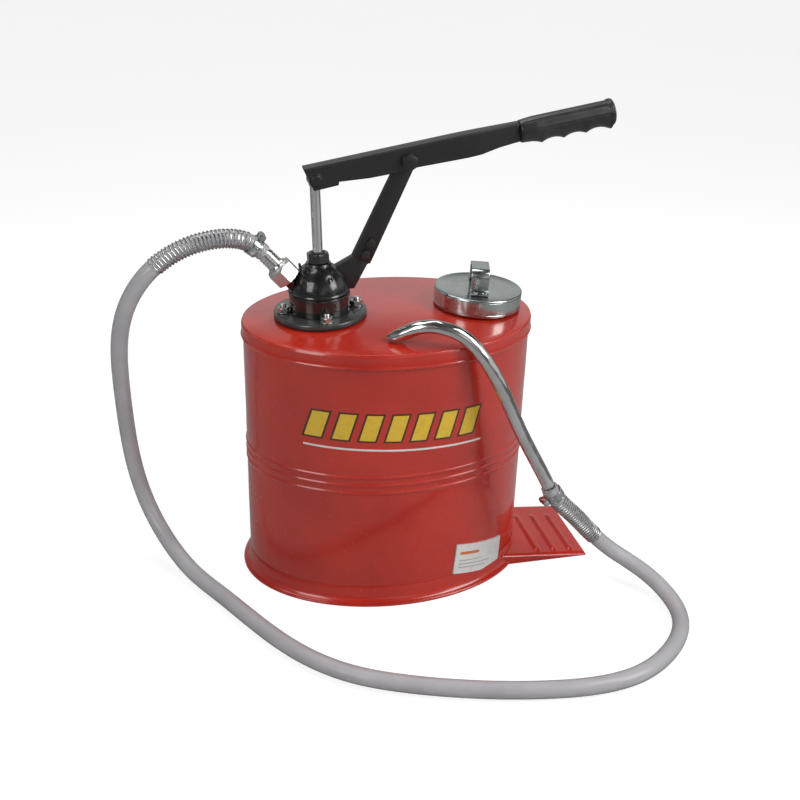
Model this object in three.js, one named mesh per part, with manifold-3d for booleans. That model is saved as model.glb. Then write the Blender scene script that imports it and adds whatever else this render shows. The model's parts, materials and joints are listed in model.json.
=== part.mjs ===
// Hand-operated gear oil pump: an oval steel tank, a lever-worked piston pump bolted to
// its domed lid, a screw-on filler cap, a clear delivery hose and a bent spout.
// Millimetres, +Z up. The origin is the centre of the tank's underside on the floor.
// +X runs to the filler cap and the foot plate, and -Y is the front.
import * as THREE from 'three';
import { NURBSCurve } from 'three/addons/curves/NURBSCurve.js';
import { mergeVertices } from 'three/addons/utils/BufferGeometryUtils.js';
import Module from 'manifold-3d';

const wasm = await Module();
wasm.setup();

// ---------------------------------------------------------------- driving sizes
const GAP = 0.3;                     // left between pieces that touch
const WALL = 1.5;                    // sheet steel of the tank

const TANK_A = 175;                  // half length of the oval body
const TANK_B = 125.2;                // half width of the oval body
const OVAL_SIDES = 40;
const BODY_TOP = 322;
const BEADS = [156, 166.5, 177];     // heights of the pressed rings round the body
const BEAD_PROUD = 1.3;
const BEAD_HALF = 3;
const FOOT_FLARE = 9;                // how far the foot spreads past the body
const FOOT_TOP = 24;
const LID_TOP = 340;                 // crown of the domed lid
const LID_RADIUS = 2300;             // radius of the dome
const SKIRT_BOTTOM = 314.5;

const PLATE_END = 259;               // outer edge of the foot plate
const PLATE_FRONT = -76;
const PLATE_BACK = 48;
const PLATE_EDGE = 3.4;              // height of its outer edge
const PLATE_SLOPE = 0.094;
const PLATE_SHEET = 2;
const PLATE_RIBS = [240, 217, 194];

const PUMP_X = -83;                  // where the pump stands on the lid
const FILLER_X = 111;                // where the filler stands on the lid

const FLANGE_R = 55.2;
const FLANGE_TOP = 6.1;
const BOLT_CIRCLE = 44;
const HEAD_R = 35.6;
const HEAD_TOP = 29;                 // parting line between the head's two castings
const DOME_R = 34.5;
const DOME_HEIGHT = 36;
const GLAND_BOTTOM = 65;
const GLAND_TOP = 76;
const BARREL_R = 22;
const BORE_R = 20;
const BARREL_TOP = 20;
const BARREL_BOTTOM = -310;
const PISTON_BOTTOM = -216;          // underside of the piston at rest
const ROD_R = 5.9;
const EYE_HEIGHT = 162.6;            // rod pin above the lid, along the pump
const EYE_HALF = 6.2;                // half thickness of the rod's slotted eye

const PIVOT = [18, 519];             // lever pivot, x and z
const LEVER_RISE = THREE.MathUtils.degToRad(10.18);
const LEVER_HALF = 9;                // half width of the pressed channel
const LEVER_WALL = 2;
const LEVER_TOP = 17.3;              // its top above the pivot
const ROD_PIN = [-108, 1];           // rod pin on the lever, along it and above it
const GRIP_AXIS = 4.4;
const GRIP_R = 14.3;
const GRIP_START = 135;
const GRIP_END = 250;
const GRIP_PITCH = 27.4;             // of the finger grooves
const FINGER_DEPTH = 3.5;

const ARM_HALF = 6.5;                // half thickness of the arm
const ARM_R = 9.5;                   // half width of the arm
const TONGUE_HALF = 2.7;             // the head's tongue inside the arm's fork
const ARM_FOOT = [[-42.8, 412.5], [-24.7, 399.2]];
const LUG = [[-64.5, 399.5], [-62.9, 401.4], [-43, 412.1], [-27.2, 400.4], [-43.3, 369.6],
  [-68, 369.6]];
const ARM_BOLTS = [[-31.2, 410.6], [-24.7, 424.1]];

const OUTLET_FOOT = [-34.6, 47.4];   // where the outlet's union starts, on the pump
const OUTLET_RISE = THREE.MathUtils.degToRad(50);
const HOSE_START = 44.4;             // along the outlet
const HOSE_R = 10;
const HOSE_STEPS = 72;
const SPOUT_R = 8;
const SPOUT_BORE = 6.6;
const SPOUT_STEPS = 18;
const SPOUT_MOUTH = 340.5;           // height of the mouth, cut level just above the lid

// The hose's control points: up out of the pump, over to the left, down behind the
// tank's corner to the floor, round the front, and back up to the foot of the spout.
const HOSE_ROUTE = [
  [-149, 0, 417.6], [-159.5, 0, 429], [-176, -3, 437.5], [-203.5, -8, 440], [-238, -12, 434],
  [-271, -13, 415.5], [-295, -9, 388], [-312, 2, 350], [-319, 20, 305], [-320, 42, 255],
  [-319, 60, 205], [-317, 71, 155], [-312, 71, 110], [-301, 54, 68], [-280, 20, 31],
  [-253, -28, 10], [-224, -78, 11], [-199, -126, 11], [-172, -176, 11], [-140, -223, 11],
  [-98, -262, 11], [-50, -286, 11], [0, -305, 11], [55, -321, 11], [110, -332, 11],
  [166, -338, 11], [222, -331, 11], [270, -302, 11], [307, -262, 11], [323, -213, 10],
  [306, -156, 22], [267, -128, 40], [232, -130, 76], [203, -139, 112], [176, -145, 137],
  [167.6, -145, 154.6],
];
// The spout's control points, from its foot on the hose to its mouth on the lid.
const SPOUT_ROUTE = [
  [167, -145, 155.8], [158, -143, 175], [127.1, -137, 228.4], [108, -133, 277.7],
  [83.8, -130, 321.7], [59.4, -122, 350.9], [37.8, -115, 357.4], [9.1, -106, 362.5],
  [-18, -90, 336],
];

// -------------------------------------------------------------------- materials
function finish(colour, roughness, metalness) {
  return new THREE.MeshStandardMaterial({ color: colour, roughness, metalness });
}
const RED_ENAMEL = finish(0xa82f25, 0.25, 0.1);
const BLACK_CASTING = finish(0x141412, 0.3, 0.2);
const BLACK_ENAMEL = finish(0x2b2b2a, 0.45, 0.1);
const DARK_PLATE = finish(0x3a3c39, 0.35, 0.4);
const ZINC = finish(0x969c98, 0.3, 0.9);
const CHROME = finish(0xc8cac6, 0.12, 1);
const STEEL = finish(0x8b8d8a, 0.3, 1);
const BRASS = finish(0xb08b4a, 0.35, 1);
const RUBBER = finish(0x1c1c1c, 0.8, 0);
const CLEAR_HOSE = finish(0xc9ccd0, 0.2, 0);

// ---------------------------------------------------------------- solid helpers
// A closed geometry as a manifold solid, with its faces turned outwards.
function solid(geometry) {
  const bare = geometry.clone();
  bare.deleteAttribute('normal');
  bare.deleteAttribute('uv');
  const merged = mergeVertices(bare, 1e-4);
  const points = new Float32Array(merged.getAttribute('position').array);
  const corners = merged.getIndex().array;
  const triangles = [];
  for (let i = 0; i < corners.length; i += 3) {
    const [a, b, c] = corners.slice(i, i + 3);
    if (a !== b && b !== c && c !== a) triangles.push(a, b, c);
  }
  if (signedVolume(points, triangles) < 0) triangles.reverse();
  const mesh = new wasm.Mesh({
    numProp: 3, vertProperties: points, triVerts: new Uint32Array(triangles),
  });
  return new wasm.Manifold(mesh);
}

function signedVolume(points, triangles) {
  const [a, b, c] = [new THREE.Vector3(), new THREE.Vector3(), new THREE.Vector3()];
  let sum = 0;
  for (let i = 0; i < triangles.length; i += 3) {
    a.fromArray(points, 3 * triangles[i]);
    b.fromArray(points, 3 * triangles[i + 1]);
    c.fromArray(points, 3 * triangles[i + 2]);
    sum += a.dot(b.cross(c)) / 6;
  }
  return sum;
}

function add(group, name, shape, material) {
  const { vertProperties, triVerts } = shape.getMesh();
  const geometry = new THREE.BufferGeometry();
  geometry.setAttribute('position', new THREE.BufferAttribute(vertProperties, 3));
  geometry.setIndex(new THREE.BufferAttribute(triVerts, 1));
  geometry.computeVertexNormals();
  const mesh = new THREE.Mesh(geometry, material);
  mesh.name = name;
  group.add(mesh);
}

const join = (first, ...others) => others.reduce((sum, next) => sum.add(next), first);
const cut = (first, ...others) => others.reduce((rest, next) => rest.subtract(next), first);

function box([x0, y0, z0], [x1, y1, z1]) {
  const geometry = new THREE.BoxGeometry(x1 - x0, y1 - y0, z1 - z0);
  geometry.translate((x0 + x1) / 2, (y0 + y1) / 2, (z0 + z1) / 2);
  return solid(geometry);
}

// A round bar or a prism between two points.
function bar(from, to, radius, sides = 20) {
  const start = new THREE.Vector3(...from);
  const along = new THREE.Vector3(...to).sub(start);
  const geometry = new THREE.CylinderGeometry(radius, radius, along.length(), sides);
  geometry.translate(0, along.length() / 2, 0);
  const up = new THREE.Vector3(0, 1, 0);
  geometry.applyQuaternion(new THREE.Quaternion().setFromUnitVectors(up, along.normalize()));
  geometry.translate(start.x, start.y, start.z);
  return solid(geometry);
}

const hexBar = (from, to, acrossFlats) => bar(from, to, acrossFlats / Math.sqrt(3), 6);

// A bar along Y through a point of the XZ plane.
const crossBar = ([x, z], y0, y1, radius, sides) => bar([x, y0, z], [x, y1, z], radius, sides);

// A piece turned about Z from [radius, height] pairs.
function turned(profile, sides = 24) {
  const points = profile.map(([radius, height]) => new THREE.Vector2(radius, height));
  const geometry = new THREE.LatheGeometry(points, sides);
  geometry.rotateX(Math.PI / 2);
  return solid(geometry);
}

const ring = (inner, outer, z0, z1, sides = 24) => turned([
  [inner, z0], [outer, z0], [outer, z1], [inner, z1], [inner, z0],
], sides);

// A turned profile pressed to the tank's oval. Near the rim a radius is an even offset
// from the oval, and further in the ovals shrink towards the centre.
function oval(profile) {
  const points = profile.map(([radius, height]) => new THREE.Vector2(radius, height));
  const geometry = new THREE.LatheGeometry(points, OVAL_SIDES);
  geometry.rotateX(Math.PI / 2);
  const position = geometry.getAttribute('position');
  const inner = 0.8 * TANK_A;
  for (let i = 0; i < position.count; i += 1) {
    const [x, y] = [position.getX(i), position.getY(i)];
    const radius = Math.hypot(x, y);
    if (radius > 1e-6) {
      const [c, s] = [x / radius, y / radius];
      const length = Math.hypot(c / TANK_A, s / TANK_B);
      const offset = Math.max(radius, inner) - TANK_A;
      const scale = Math.min(radius / inner, 1);
      const px = scale * (TANK_A * c + (offset * c) / TANK_A / length);
      const py = scale * (TANK_B * s + (offset * s) / TANK_B / length);
      position.setXY(i, px, py);
    }
  }
  return solid(geometry);
}

// A flat outline of [x, z] pairs, given thickness along Y.
function plate(outline, y0, y1) {
  const shape = new THREE.Shape(outline.map(([x, z]) => new THREE.Vector2(x, z)));
  const geometry = new THREE.ExtrudeGeometry(shape, { depth: y1 - y0, bevelEnabled: false });
  geometry.rotateX(Math.PI / 2);
  geometry.translate(0, y1, 0);
  return solid(geometry);
}

// Points of an arc in a plane, for an outline.
function arc([x, z], radius, from, to, steps = 4) {
  return Array.from({ length: steps + 1 }, (_, k) => {
    const angle = THREE.MathUtils.degToRad(from + ((to - from) * k) / steps);
    return [x + radius * Math.cos(angle), z + radius * Math.sin(angle)];
  });
}

function circle(radius, sides) {
  return arc([0, 0], radius, 0, 360 - 360 / sides, sides - 1)
    .map(([x, y]) => new THREE.Vector2(x, y));
}

// A tube along a curve, hollow when a bore is given.
function tube(curve, radius, steps, sides, bore) {
  const section = new THREE.Shape(circle(radius, sides));
  if (bore) section.holes.push(new THREE.Path(circle(bore, sides)));
  return solid(new THREE.ExtrudeGeometry(section, { steps, extrudePath: curve }));
}

// A clamped cubic curve drawn by control points.
function smoothCurve(route) {
  const spans = route.length - 3;
  const inner = Array.from({ length: spans - 1 }, (_, k) => (k + 1) / spans);
  const knots = [0, 0, 0, 0, ...inner, 1, 1, 1, 1];
  const curve = new NURBSCurve(3, knots, route.map((point) => new THREE.Vector4(...point, 1)));
  curve.arcLengthDivisions = 2000;
  return curve;
}

// The stretch of a curve between two fractions of its length.
class Stretch extends THREE.Curve {
  constructor(curve, from, to) {
    super();
    Object.assign(this, { curve, from, to });
  }

  getPoint(t, target = new THREE.Vector3()) {
    return target.copy(this.curve.getPointAt(this.from + (this.to - this.from) * t));
  }
}

// Where the dome stands, and how it leans, at a distance along X from its crown.
function onLid(x) {
  const group = new THREE.Group();
  group.position.set(x, 0, LID_TOP - (x * x) / (2 * LID_RADIUS));
  group.rotation.y = Math.asin(x / LID_RADIUS);
  group.updateMatrixWorld();
  return group;
}

// ------------------------------------------------------------------------- tank
function makeTank(tank) {
  const beads = BEADS.flatMap((z) => [
    [TANK_A, z - BEAD_HALF], [TANK_A + BEAD_PROUD, z], [TANK_A, z + BEAD_HALF],
  ]);
  const bodyBottom = WALL + GAP;
  add(tank, 'tank_body', oval([
    [TANK_A - WALL, bodyBottom], [TANK_A, bodyBottom], ...beads, [TANK_A, BODY_TOP],
    [TANK_A - WALL, BODY_TOP], [TANK_A - WALL, bodyBottom],
  ]), RED_ENAMEL);

  const inner = TANK_A + GAP;
  const outer = inner + WALL;
  add(tank, 'tank_base', oval([
    [0, 0], [TANK_A + FOOT_FLARE, 0], [TANK_A + FOOT_FLARE, WALL], [outer, 16],
    [outer, FOOT_TOP], [inner, FOOT_TOP], [inner, 15.6], [TANK_A + FOOT_FLARE - 2.5, WALL],
    [0, WALL],
  ]), RED_ENAMEL);

  const dome = (radius, depth = 0) => [
    radius, LID_TOP - depth - (radius * radius) / (2 * LID_RADIUS),
  ];
  const shell = oval([
    dome(0), dome(90), dome(163), [172.5, 331.4], [outer, 325],
    [outer, 318.5], [outer + 1, 316.5], [outer, SKIRT_BOTTOM], [inner, SKIRT_BOTTOM],
    [inner, 324.3], [171.4, 330], dome(163, WALL), dome(90, WALL), dome(0, WALL),
  ]);
  const holes = [
    ringOfPoints(BOLT_CIRCLE, 4).map(([x, y]) => throughLid(PUMP_X, x, y, 4.5, 10)),
    throughLid(PUMP_X, 0, 0, 25, 24),
    throughLid(FILLER_X, 0, 0, 44, 32),
  ].flat();
  add(tank, 'tank_lid', cut(shell, ...holes), RED_ENAMEL);
}

const ringOfPoints = (radius, count) => Array.from({ length: count }, (_, k) => {
  const angle = (2 * Math.PI * k) / count;
  return [radius * Math.cos(angle), radius * Math.sin(angle)];
});

// A drill square to the dome, at a place on a fitting that stands there.
function throughLid(at, x, y, radius, sides) {
  const place = onLid(at);
  const [low, high] = [-20, 20].map((z) => new THREE.Vector3(x, y, z)
    .applyMatrix4(place.matrixWorld).toArray());
  return bar(low, high, radius, sides);
}

function makeFootPlate(tank) {
  const inner = 125;
  const top = (x) => PLATE_EDGE + (PLATE_END - x) * PLATE_SLOPE;
  const sheet = plate([
    [inner, -1], [PLATE_END, -1], [PLATE_END, top(PLATE_END)], [inner, top(inner)],
  ], PLATE_FRONT, PLATE_BACK);
  const ribs = PLATE_RIBS.map((x) => {
    const z = top(x) - 2;
    return bar([x, PLATE_FRONT + 10, z], [x, PLATE_BACK - 30, z], 4.4, 12);
  });
  const under = plate([
    [inner - 5, -2], [PLATE_END - PLATE_SHEET, -2],
    [PLATE_END - PLATE_SHEET, top(PLATE_END) - PLATE_SHEET],
    [inner - 5, top(inner - 5) - PLATE_SHEET],
  ], PLATE_FRONT + PLATE_SHEET, PLATE_BACK - PLATE_SHEET);
  const floor = box([inner - 10, -200, -10], [PLATE_END + 10, 200, 0]);
  const flare = TANK_A + FOOT_FLARE + GAP;
  const foot = oval([
    [0, -5], [flare, -5], [flare, WALL + GAP], [TANK_A + WALL + 2 * GAP + 0.2, 16.5],
    [TANK_A + WALL + 2 * GAP + 0.2, 40], [0, 40],
  ]);
  add(tank, 'foot_plate', cut(join(sheet, ...ribs), under, floor, foot), RED_ENAMEL);
}

// ----------------------------------------------------------------------- filler
function makeFiller() {
  const filler = onLid(FILLER_X);
  const [capR, capTop, capBottom] = [53.3, 22.9, 1.3];
  add(filler, 'filler_neck', ring(44, 48, GAP, 18, 32), ZINC);
  add(filler, 'cap_gasket', ring(42, 49, 18.3, 20.5, 32), RUBBER);
  add(filler, 'filler_cap', turned([
    [0, capTop - 2], [capR - 1.8, capTop - 2], [capR - 1.8, capBottom], [capR, capBottom],
    [capR, capTop - 1.4], [capR - 1.4, capTop], [0, capTop],
  ], 36), ZINC);

  const [span, rise, bend, thick, halfWidth, foot] = [23, 27, 12, 2, 10.75, 14];
  const base = capTop + GAP;
  const top = base + rise;
  const leg = span - thick;
  const outline = [
    [-span - foot, base], [-leg, base],
    ...arc([-span + bend, top - bend], bend - thick, 180, 90),
    ...arc([span - bend, top - bend], bend - thick, 90, 0),
    [leg, base], [span + foot, base], [span + foot, base + thick], [span, base + thick],
    ...arc([span - bend, top - bend], bend, 0, 90),
    ...arc([-span + bend, top - bend], bend, 90, 180),
    [-span, base + thick], [-span - foot, base + thick],
  ];
  const strap = new THREE.Group();
  strap.rotation.z = THREE.MathUtils.degToRad(75);
  filler.add(strap);
  add(strap, 'cap_strap', plate(outline, -halfWidth, halfWidth), ZINC);
  return filler;
}

// ------------------------------------------------------------------------- pump
// A point of the tank's XZ plane, seen from the leaning pump.
function onPump([x, z]) {
  const point = new THREE.Vector3(x, 0, z).applyMatrix4(onLid(PUMP_X).matrixWorld.invert());
  return [point.x, point.z];
}

const outletPoint = (along) => [
  OUTLET_FOOT[0] - along * Math.cos(OUTLET_RISE), 0,
  OUTLET_FOOT[1] + along * Math.sin(OUTLET_RISE),
];

function makeFlange(pump) {
  const places = ringOfPoints(BOLT_CIRCLE, 4);
  const drills = places.map(([x, y]) => bar([x, y, -10], [x, y, 20], 4.5, 10));
  add(pump, 'flange_gasket', cut(ring(25, FLANGE_R, GAP, 1.8, 32), ...drills), RUBBER);
  const disc = ring(BARREL_R + GAP, FLANGE_R, 2.1, FLANGE_TOP, 36);
  add(pump, 'pump_flange', cut(disc, ...drills), DARK_PLATE);
  const [nutBottom, nutTop, boltTop, headTop] = [FLANGE_TOP + GAP, 13, 17, -3.4];
  places.forEach(([x, y], k) => {
    const head = hexBar([x, y, headTop - 5], [x, y, headTop], 13);
    const shank = bar([x, y, headTop - 1], [x, y, boltTop], 4, 12);
    add(pump, `flange_bolt_${k + 1}`, join(head, shank), STEEL);
    const washer = bar([x, y, nutBottom], [x, y, nutBottom + 1.5], 8, 16);
    const nut = hexBar([x, y, nutBottom + 1.4], [x, y, nutTop], 13);
    const hole = bar([x, y, 0], [x, y, boltTop], 4.3, 12);
    add(pump, `flange_nut_${k + 1}`, cut(join(washer, nut), hole), STEEL);
  });
}

function makeHead(pump) {
  add(pump, 'head_base', turned([
    [BARREL_R + GAP, FLANGE_TOP + GAP], [HEAD_R, FLANGE_TOP + GAP], [HEAD_R, HEAD_TOP],
    [BORE_R, HEAD_TOP], [BORE_R, BARREL_TOP + GAP], [BARREL_R + GAP, BARREL_TOP + GAP],
    [BARREL_R + GAP, FLANGE_TOP + GAP],
  ], 32), BLACK_CASTING);

  const bottom = HEAD_TOP + GAP;
  const dome = [0, 13, 26, 38, 50, 62].map((degrees) => {
    const angle = THREE.MathUtils.degToRad(degrees);
    return [DOME_R * Math.cos(angle), bottom + DOME_HEIGHT * Math.sin(angle)];
  });
  const neckTop = GLAND_BOTTOM - GAP;
  const body = turned([[0, bottom], ...dome, [0, dome.at(-1)[1]]], 28);
  const neck = bar([0, 0, bottom], [0, 0, neckTop], 14.5);
  const boss = bar(outletPoint(-26), outletPoint(-10.3), 12.2);
  const lug = plate(LUG.map(onPump), -6, 6);
  const tongue = plate([[-40, 404], [-26, 397], [-17.5, 429], [-28, 434]].map(onPump),
    -TONGUE_HALF, TONGUE_HALF);
  const below = box([-60, -60, 0], [60, 60, bottom]);
  const spotFace = bar(outletPoint(-10.3), outletPoint(10), 11);
  const passage = bar(outletPoint(-28), outletPoint(0), 4, 12);
  const socket = bar(outletPoint(-17.3), outletPoint(0), 6.5, 16);
  const cavity = bar([0, 0, bottom - 5], [0, 0, bottom + 5], BORE_R);
  const stuffingBox = bar([0, 0, 38], [0, 0, 70], 9.5);
  const rodHole = bar([0, 0, 0], [0, 0, 70], ROD_R + 0.4);
  const bolts = ARM_BOLTS.map((at) => crossBar(onPump(at), -10, 10, 3.4, 12));
  const bores = [spotFace, passage, socket, cavity, stuffingBox];
  const head = cut(join(body, neck, boss), below, ...bores);
  add(pump, 'head_dome', cut(join(head, lug, tongue), rodHole, ...bolts), BLACK_CASTING);

  add(pump, 'gland_packing', ring(ROD_R + 0.3, 9.2, 38.3, 44), RUBBER);
  const thread = bar([0, 0, 44.3], [0, 0, GLAND_BOTTOM + 1], 9.2);
  const nut = hexBar([0, 0, GLAND_BOTTOM], [0, 0, GLAND_TOP], 24);
  add(pump, 'gland_nut', cut(join(nut, thread), rodHole, bar([0, 0, 60], [0, 0, 80], ROD_R + 0.4)),
    BLACK_CASTING);
}

function makeBarrel(pump) {
  add(pump, 'barrel_tube', ring(BORE_R, BARREL_R, BARREL_BOTTOM, BARREL_TOP), STEEL);
  const seatTop = BARREL_BOTTOM - GAP;
  const valve = turned([
    [5.5, seatTop - 15.7], [BARREL_R, seatTop - 15.7], [BARREL_R, seatTop], [19.6, seatTop],
    [19.6, seatTop + 12], [9, seatTop + 12], [9, -314], [5.5, -318], [5.5, seatTop - 15.7],
  ]);
  const stop = box([-9.5, -1.2, -301], [9.5, 1.2, -299]);
  add(pump, 'foot_valve_body', join(valve, stop), BRASS);
  add(pump, 'foot_valve_ball', ballAt(-312.4, 7.5), STEEL);
  const [top, bottom] = [seatTop - 16, seatTop - 24];
  const can = turned([
    [0, bottom], [20, bottom], [20, top], [18.5, top], [18.5, bottom + 1.5], [0, bottom + 1.5],
  ]);
  const slots = ringOfPoints(25, 4).map(([x, y]) => (
    bar([0, 0, top - 3.2], [x, y, top - 3.2], 1.8, 8)
  ));
  add(pump, 'suction_strainer', cut(can, ...slots), STEEL);
}

function ballAt(z, radius) {
  const geometry = new THREE.SphereGeometry(radius, 12, 8);
  geometry.rotateX(Math.PI / 2);
  geometry.translate(0, 0, z);
  return solid(geometry);
}

function makePiston(pump) {
  const bottom = PISTON_BOTTOM;
  const top = bottom + 16;
  add(pump, 'piston', turned([
    [5, bottom], [19.5, bottom], [19.5, top], [8, top], [8, top - 8.5], [5, top - 12],
    [5, bottom],
  ]), BRASS);
  add(pump, 'piston_ball', ballAt(top - 7.35, 6.5), STEEL);
  const cup = top + GAP;
  add(pump, 'piston_cup', turned([
    [10.3, cup], [19.6, cup], [19.6, cup + 9], [18, cup + 9], [18, cup + 2], [10.3, cup + 2],
    [10.3, cup],
  ]), RUBBER);
  const carrier = turned([
    [8.3, cup], [10, cup], [10, cup + 2.3], [16, cup + 2.3], [16, cup + 5.5], [11.5, cup + 5.5],
    [11.5, cup + 19], [ROD_R + GAP, cup + 19], [ROD_R + GAP, cup + 13], [8.3, cup + 13],
    [8.3, cup],
  ], 20);
  const ports = [[20, 0], [0, 20]].map(([x, y]) => (
    bar([-x, -y, cup + 9.5], [x, y, cup + 9.5], 2.6, 8)
  ));
  add(pump, 'piston_nut', cut(carrier, ...ports), STEEL);
  const [left, right, half] = [-8.7, 18.1, 7.8];
  const rodTop = EYE_HEIGHT - half - GAP;
  add(pump, 'piston_rod', bar([0, 0, cup + 13.2], [0, 0, rodTop], ROD_R, 24), CHROME);
  const end = (x, sign, radius) => arc([x - sign * radius, EYE_HEIGHT], radius, sign > 0 ? -90 : 90,
    sign > 0 ? 90 : 270, 8);
  const eye = plate([...end(right, 1, half), ...end(left, -1, half)], -EYE_HALF, EYE_HALF);
  const slot = plate([...end(15.3, 1, 5), ...end(-5.9, -1, 5)], -20, 20);
  add(pump, 'rod_eye', eye.subtract(slot), STEEL);
}

// ------------------------------------------------------------------ arm and lever
function makeArm(tank) {
  const [left, right] = ARM_FOOT;
  const along = new THREE.Vector2(PIVOT[0] - (left[0] + right[0]) / 2,
    PIVOT[1] - (left[1] + right[1]) / 2).normalize();
  const side = [along.y * ARM_R, -along.x * ARM_R];
  const blade = plate([left, right, [PIVOT[0] + side[0], PIVOT[1] + side[1]],
    [PIVOT[0] - side[0], PIVOT[1] - side[1]]], -ARM_HALF, ARM_HALF);
  const eye = crossBar(PIVOT, -ARM_HALF, ARM_HALF, ARM_R);
  const fork = plate([[-60, 400], [-20, 380], [2, 430], [-28, 442]],
    -TONGUE_HALF - GAP, TONGUE_HALF + GAP);
  const holes = [
    crossBar(PIVOT, -10, 10, 5.3), ...ARM_BOLTS.map((at) => crossBar(at, -10, 10, 3.4, 12)),
  ];
  add(tank, 'fulcrum_arm', cut(join(blade, eye), fork, ...holes), BLACK_ENAMEL);
  ARM_BOLTS.forEach((at, k) => {
    boltPair(tank, `arm_bolt_${k + 1}`, `arm_nut_${k + 1}`, at, ARM_HALF, 3, 10);
  });
  boltPair(tank, 'pivot_bolt', 'pivot_nut', PIVOT, LEVER_HALF, 5, 17);
}

// A hexagon bolt along Y with its nut on the back.
function boltPair(group, boltName, nutName, at, halfGrip, radius, flats) {
  const face = halfGrip + GAP;
  const [x, z] = at;
  const height = 1.3 * radius;
  const hex = (y0, y1) => hexBar([x, y0, z], [x, y1, z], flats);
  const shank = crossBar(at, -face - 1, face + height + 1.5, radius, 16);
  add(group, boltName, join(hex(-face - height, -face), shank), STEEL);
  const hole = crossBar(at, 0, 50, radius + GAP, 16);
  add(group, nutName, cut(hex(face, face + height), hole), STEEL);
}

function makeLever() {
  const lever = new THREE.Group();
  lever.position.set(PIVOT[0], 0, PIVOT[1]);
  lever.rotation.y = -LEVER_RISE;

  const neck = [GRIP_START - 0.5, LEVER_TOP - 1];
  const side = plate([
    [-119, LEVER_TOP], [-115.9, -2.5], [-112.5, -9.8], [-88.5, -9.3], [-86.9, -5.6], [-52, -9],
    [-23, -9.6], [3, -8.6], [68, -10.5], [84, -10.2], [107, -7], [neck[0], -5.4], neck,
    [60, LEVER_TOP],
  ], -LEVER_HALF, LEVER_HALF);
  const inner = LEVER_HALF - LEVER_WALL;
  const roof = LEVER_TOP - LEVER_WALL;
  const trough = plate([
    [-130, -20], [120, -20], [120, roof - 1], [60, roof], [-130, roof],
  ], -inner, inner);
  const tang = box([118, -6.5, GRIP_AXIS - 3.5], [GRIP_END - 18, 6.5, GRIP_AXIS + 3.5]);
  const holes = [crossBar([0, 0], -15, 15, 5.3), crossBar(ROD_PIN, -15, 15, 4.3)];
  add(lever, 'lever', cut(join(cut(side, trough), tang), ...holes), BLACK_ENAMEL);

  const round = turned([
    [0, GRIP_START], [GRIP_R - 2.3, GRIP_START], [GRIP_R - 1.3, GRIP_START + 1],
    [GRIP_R, GRIP_START + 18], [GRIP_R, GRIP_END - 6], [GRIP_R + 1.2, GRIP_END - 4],
    [GRIP_R + 1.2, GRIP_END - 1], [GRIP_R + 0.3, GRIP_END], [11, GRIP_END],
    [11, GRIP_END - 2], [0, GRIP_END - 2],
  ], 20);
  const keel = turned([
    [0, GRIP_START + 10], [GRIP_R - 0.3, GRIP_START + 10], [GRIP_R - 0.3, GRIP_END - 3],
    [0, GRIP_END - 3],
  ], 20);
  const along = (piece, height) => piece.rotate([0, 90, 0]).translate([0, 0, height]);
  const radius = (GRIP_PITCH * GRIP_PITCH) / 8 / FINGER_DEPTH + FINGER_DEPTH / 2;
  const grooves = [0.5, 1.5, 2.5, 3.5].map((k) => {
    const place = [GRIP_END - 7.5 - k * GRIP_PITCH, GRIP_AXIS - GRIP_R + 0.3 - radius];
    return crossBar(place, -30, 30, radius, 48);
  });
  const fingers = cut(along(keel, GRIP_AXIS - FINGER_DEPTH), ...grooves);
  const recess = bar([GRIP_END - 2, 0, GRIP_AXIS], [GRIP_END + 5, 0, GRIP_AXIS], 11);
  const socket = box([110, -6.8, GRIP_AXIS - 3.8], [GRIP_END - 17.7, 6.8, GRIP_AXIS + 3.8]);
  add(lever, 'grip', cut(join(along(round, GRIP_AXIS), fingers), recess, socket), RUBBER);
  const plug = bar([GRIP_END - 1.7, 0, GRIP_AXIS], [GRIP_END + 0.6, 0, GRIP_AXIS], 10.7);
  add(lever, 'grip_end_plug', plug, BLACK_CASTING);

  const [pinHead, pinEnd] = [LEVER_HALF + GAP, LEVER_HALF + 4];
  const head = crossBar(ROD_PIN, -pinHead - 2.5, -pinHead, 6.5);
  const pin = crossBar(ROD_PIN, -pinHead - 1, pinEnd, 4);
  add(lever, 'rod_pin', join(head, pin), STEEL);
  const clip = crossBar(ROD_PIN, pinHead, pinHead + 1.5, 7);
  add(lever, 'rod_pin_clip', cut(clip, crossBar(ROD_PIN, 0, 20, 4.3)), STEEL);
  return lever;
}

// ------------------------------------------------------------- outlet, hose, spout
// A worm-screw band round the hose, a little way in from one of its ends.
function makeClamp(tank, name, end, inside) {
  const group = new THREE.Group();
  group.position.copy(end);
  const along = inside.clone().sub(end).normalize();
  group.quaternion.setFromUnitVectors(new THREE.Vector3(0, 0, 1), along);
  tank.add(group);
  const [from, to] = [8, 19];
  const [inner, outer] = [HOSE_R + 0.4, HOSE_R + 1.5];
  const [low, high] = [outer - 0.6, outer + 6.4];
  const screwAxis = outer + 3;
  const middle = (from + to) / 2;
  const housing = box([low, -5, from + 1], [high, 5, to - 1]);
  const hole = bar([screwAxis, -20, middle], [screwAxis, 20, middle], 2.8, 12);
  const bore = bar([0, 0, from - 5], [0, 0, to + 5], inner, 24);
  const band = join(ring(inner, outer, from, to, 24), housing);
  add(group, name, cut(band, hole, bore), ZINC);
  const shank = bar([screwAxis, -6.5, middle], [screwAxis, 7, middle], 2.5, 12);
  const head = hexBar([screwAxis, 5.3, middle], [screwAxis, 9, middle], 6);
  add(group, `${name}_screw`, join(shank, head), STEEL);
}

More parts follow.
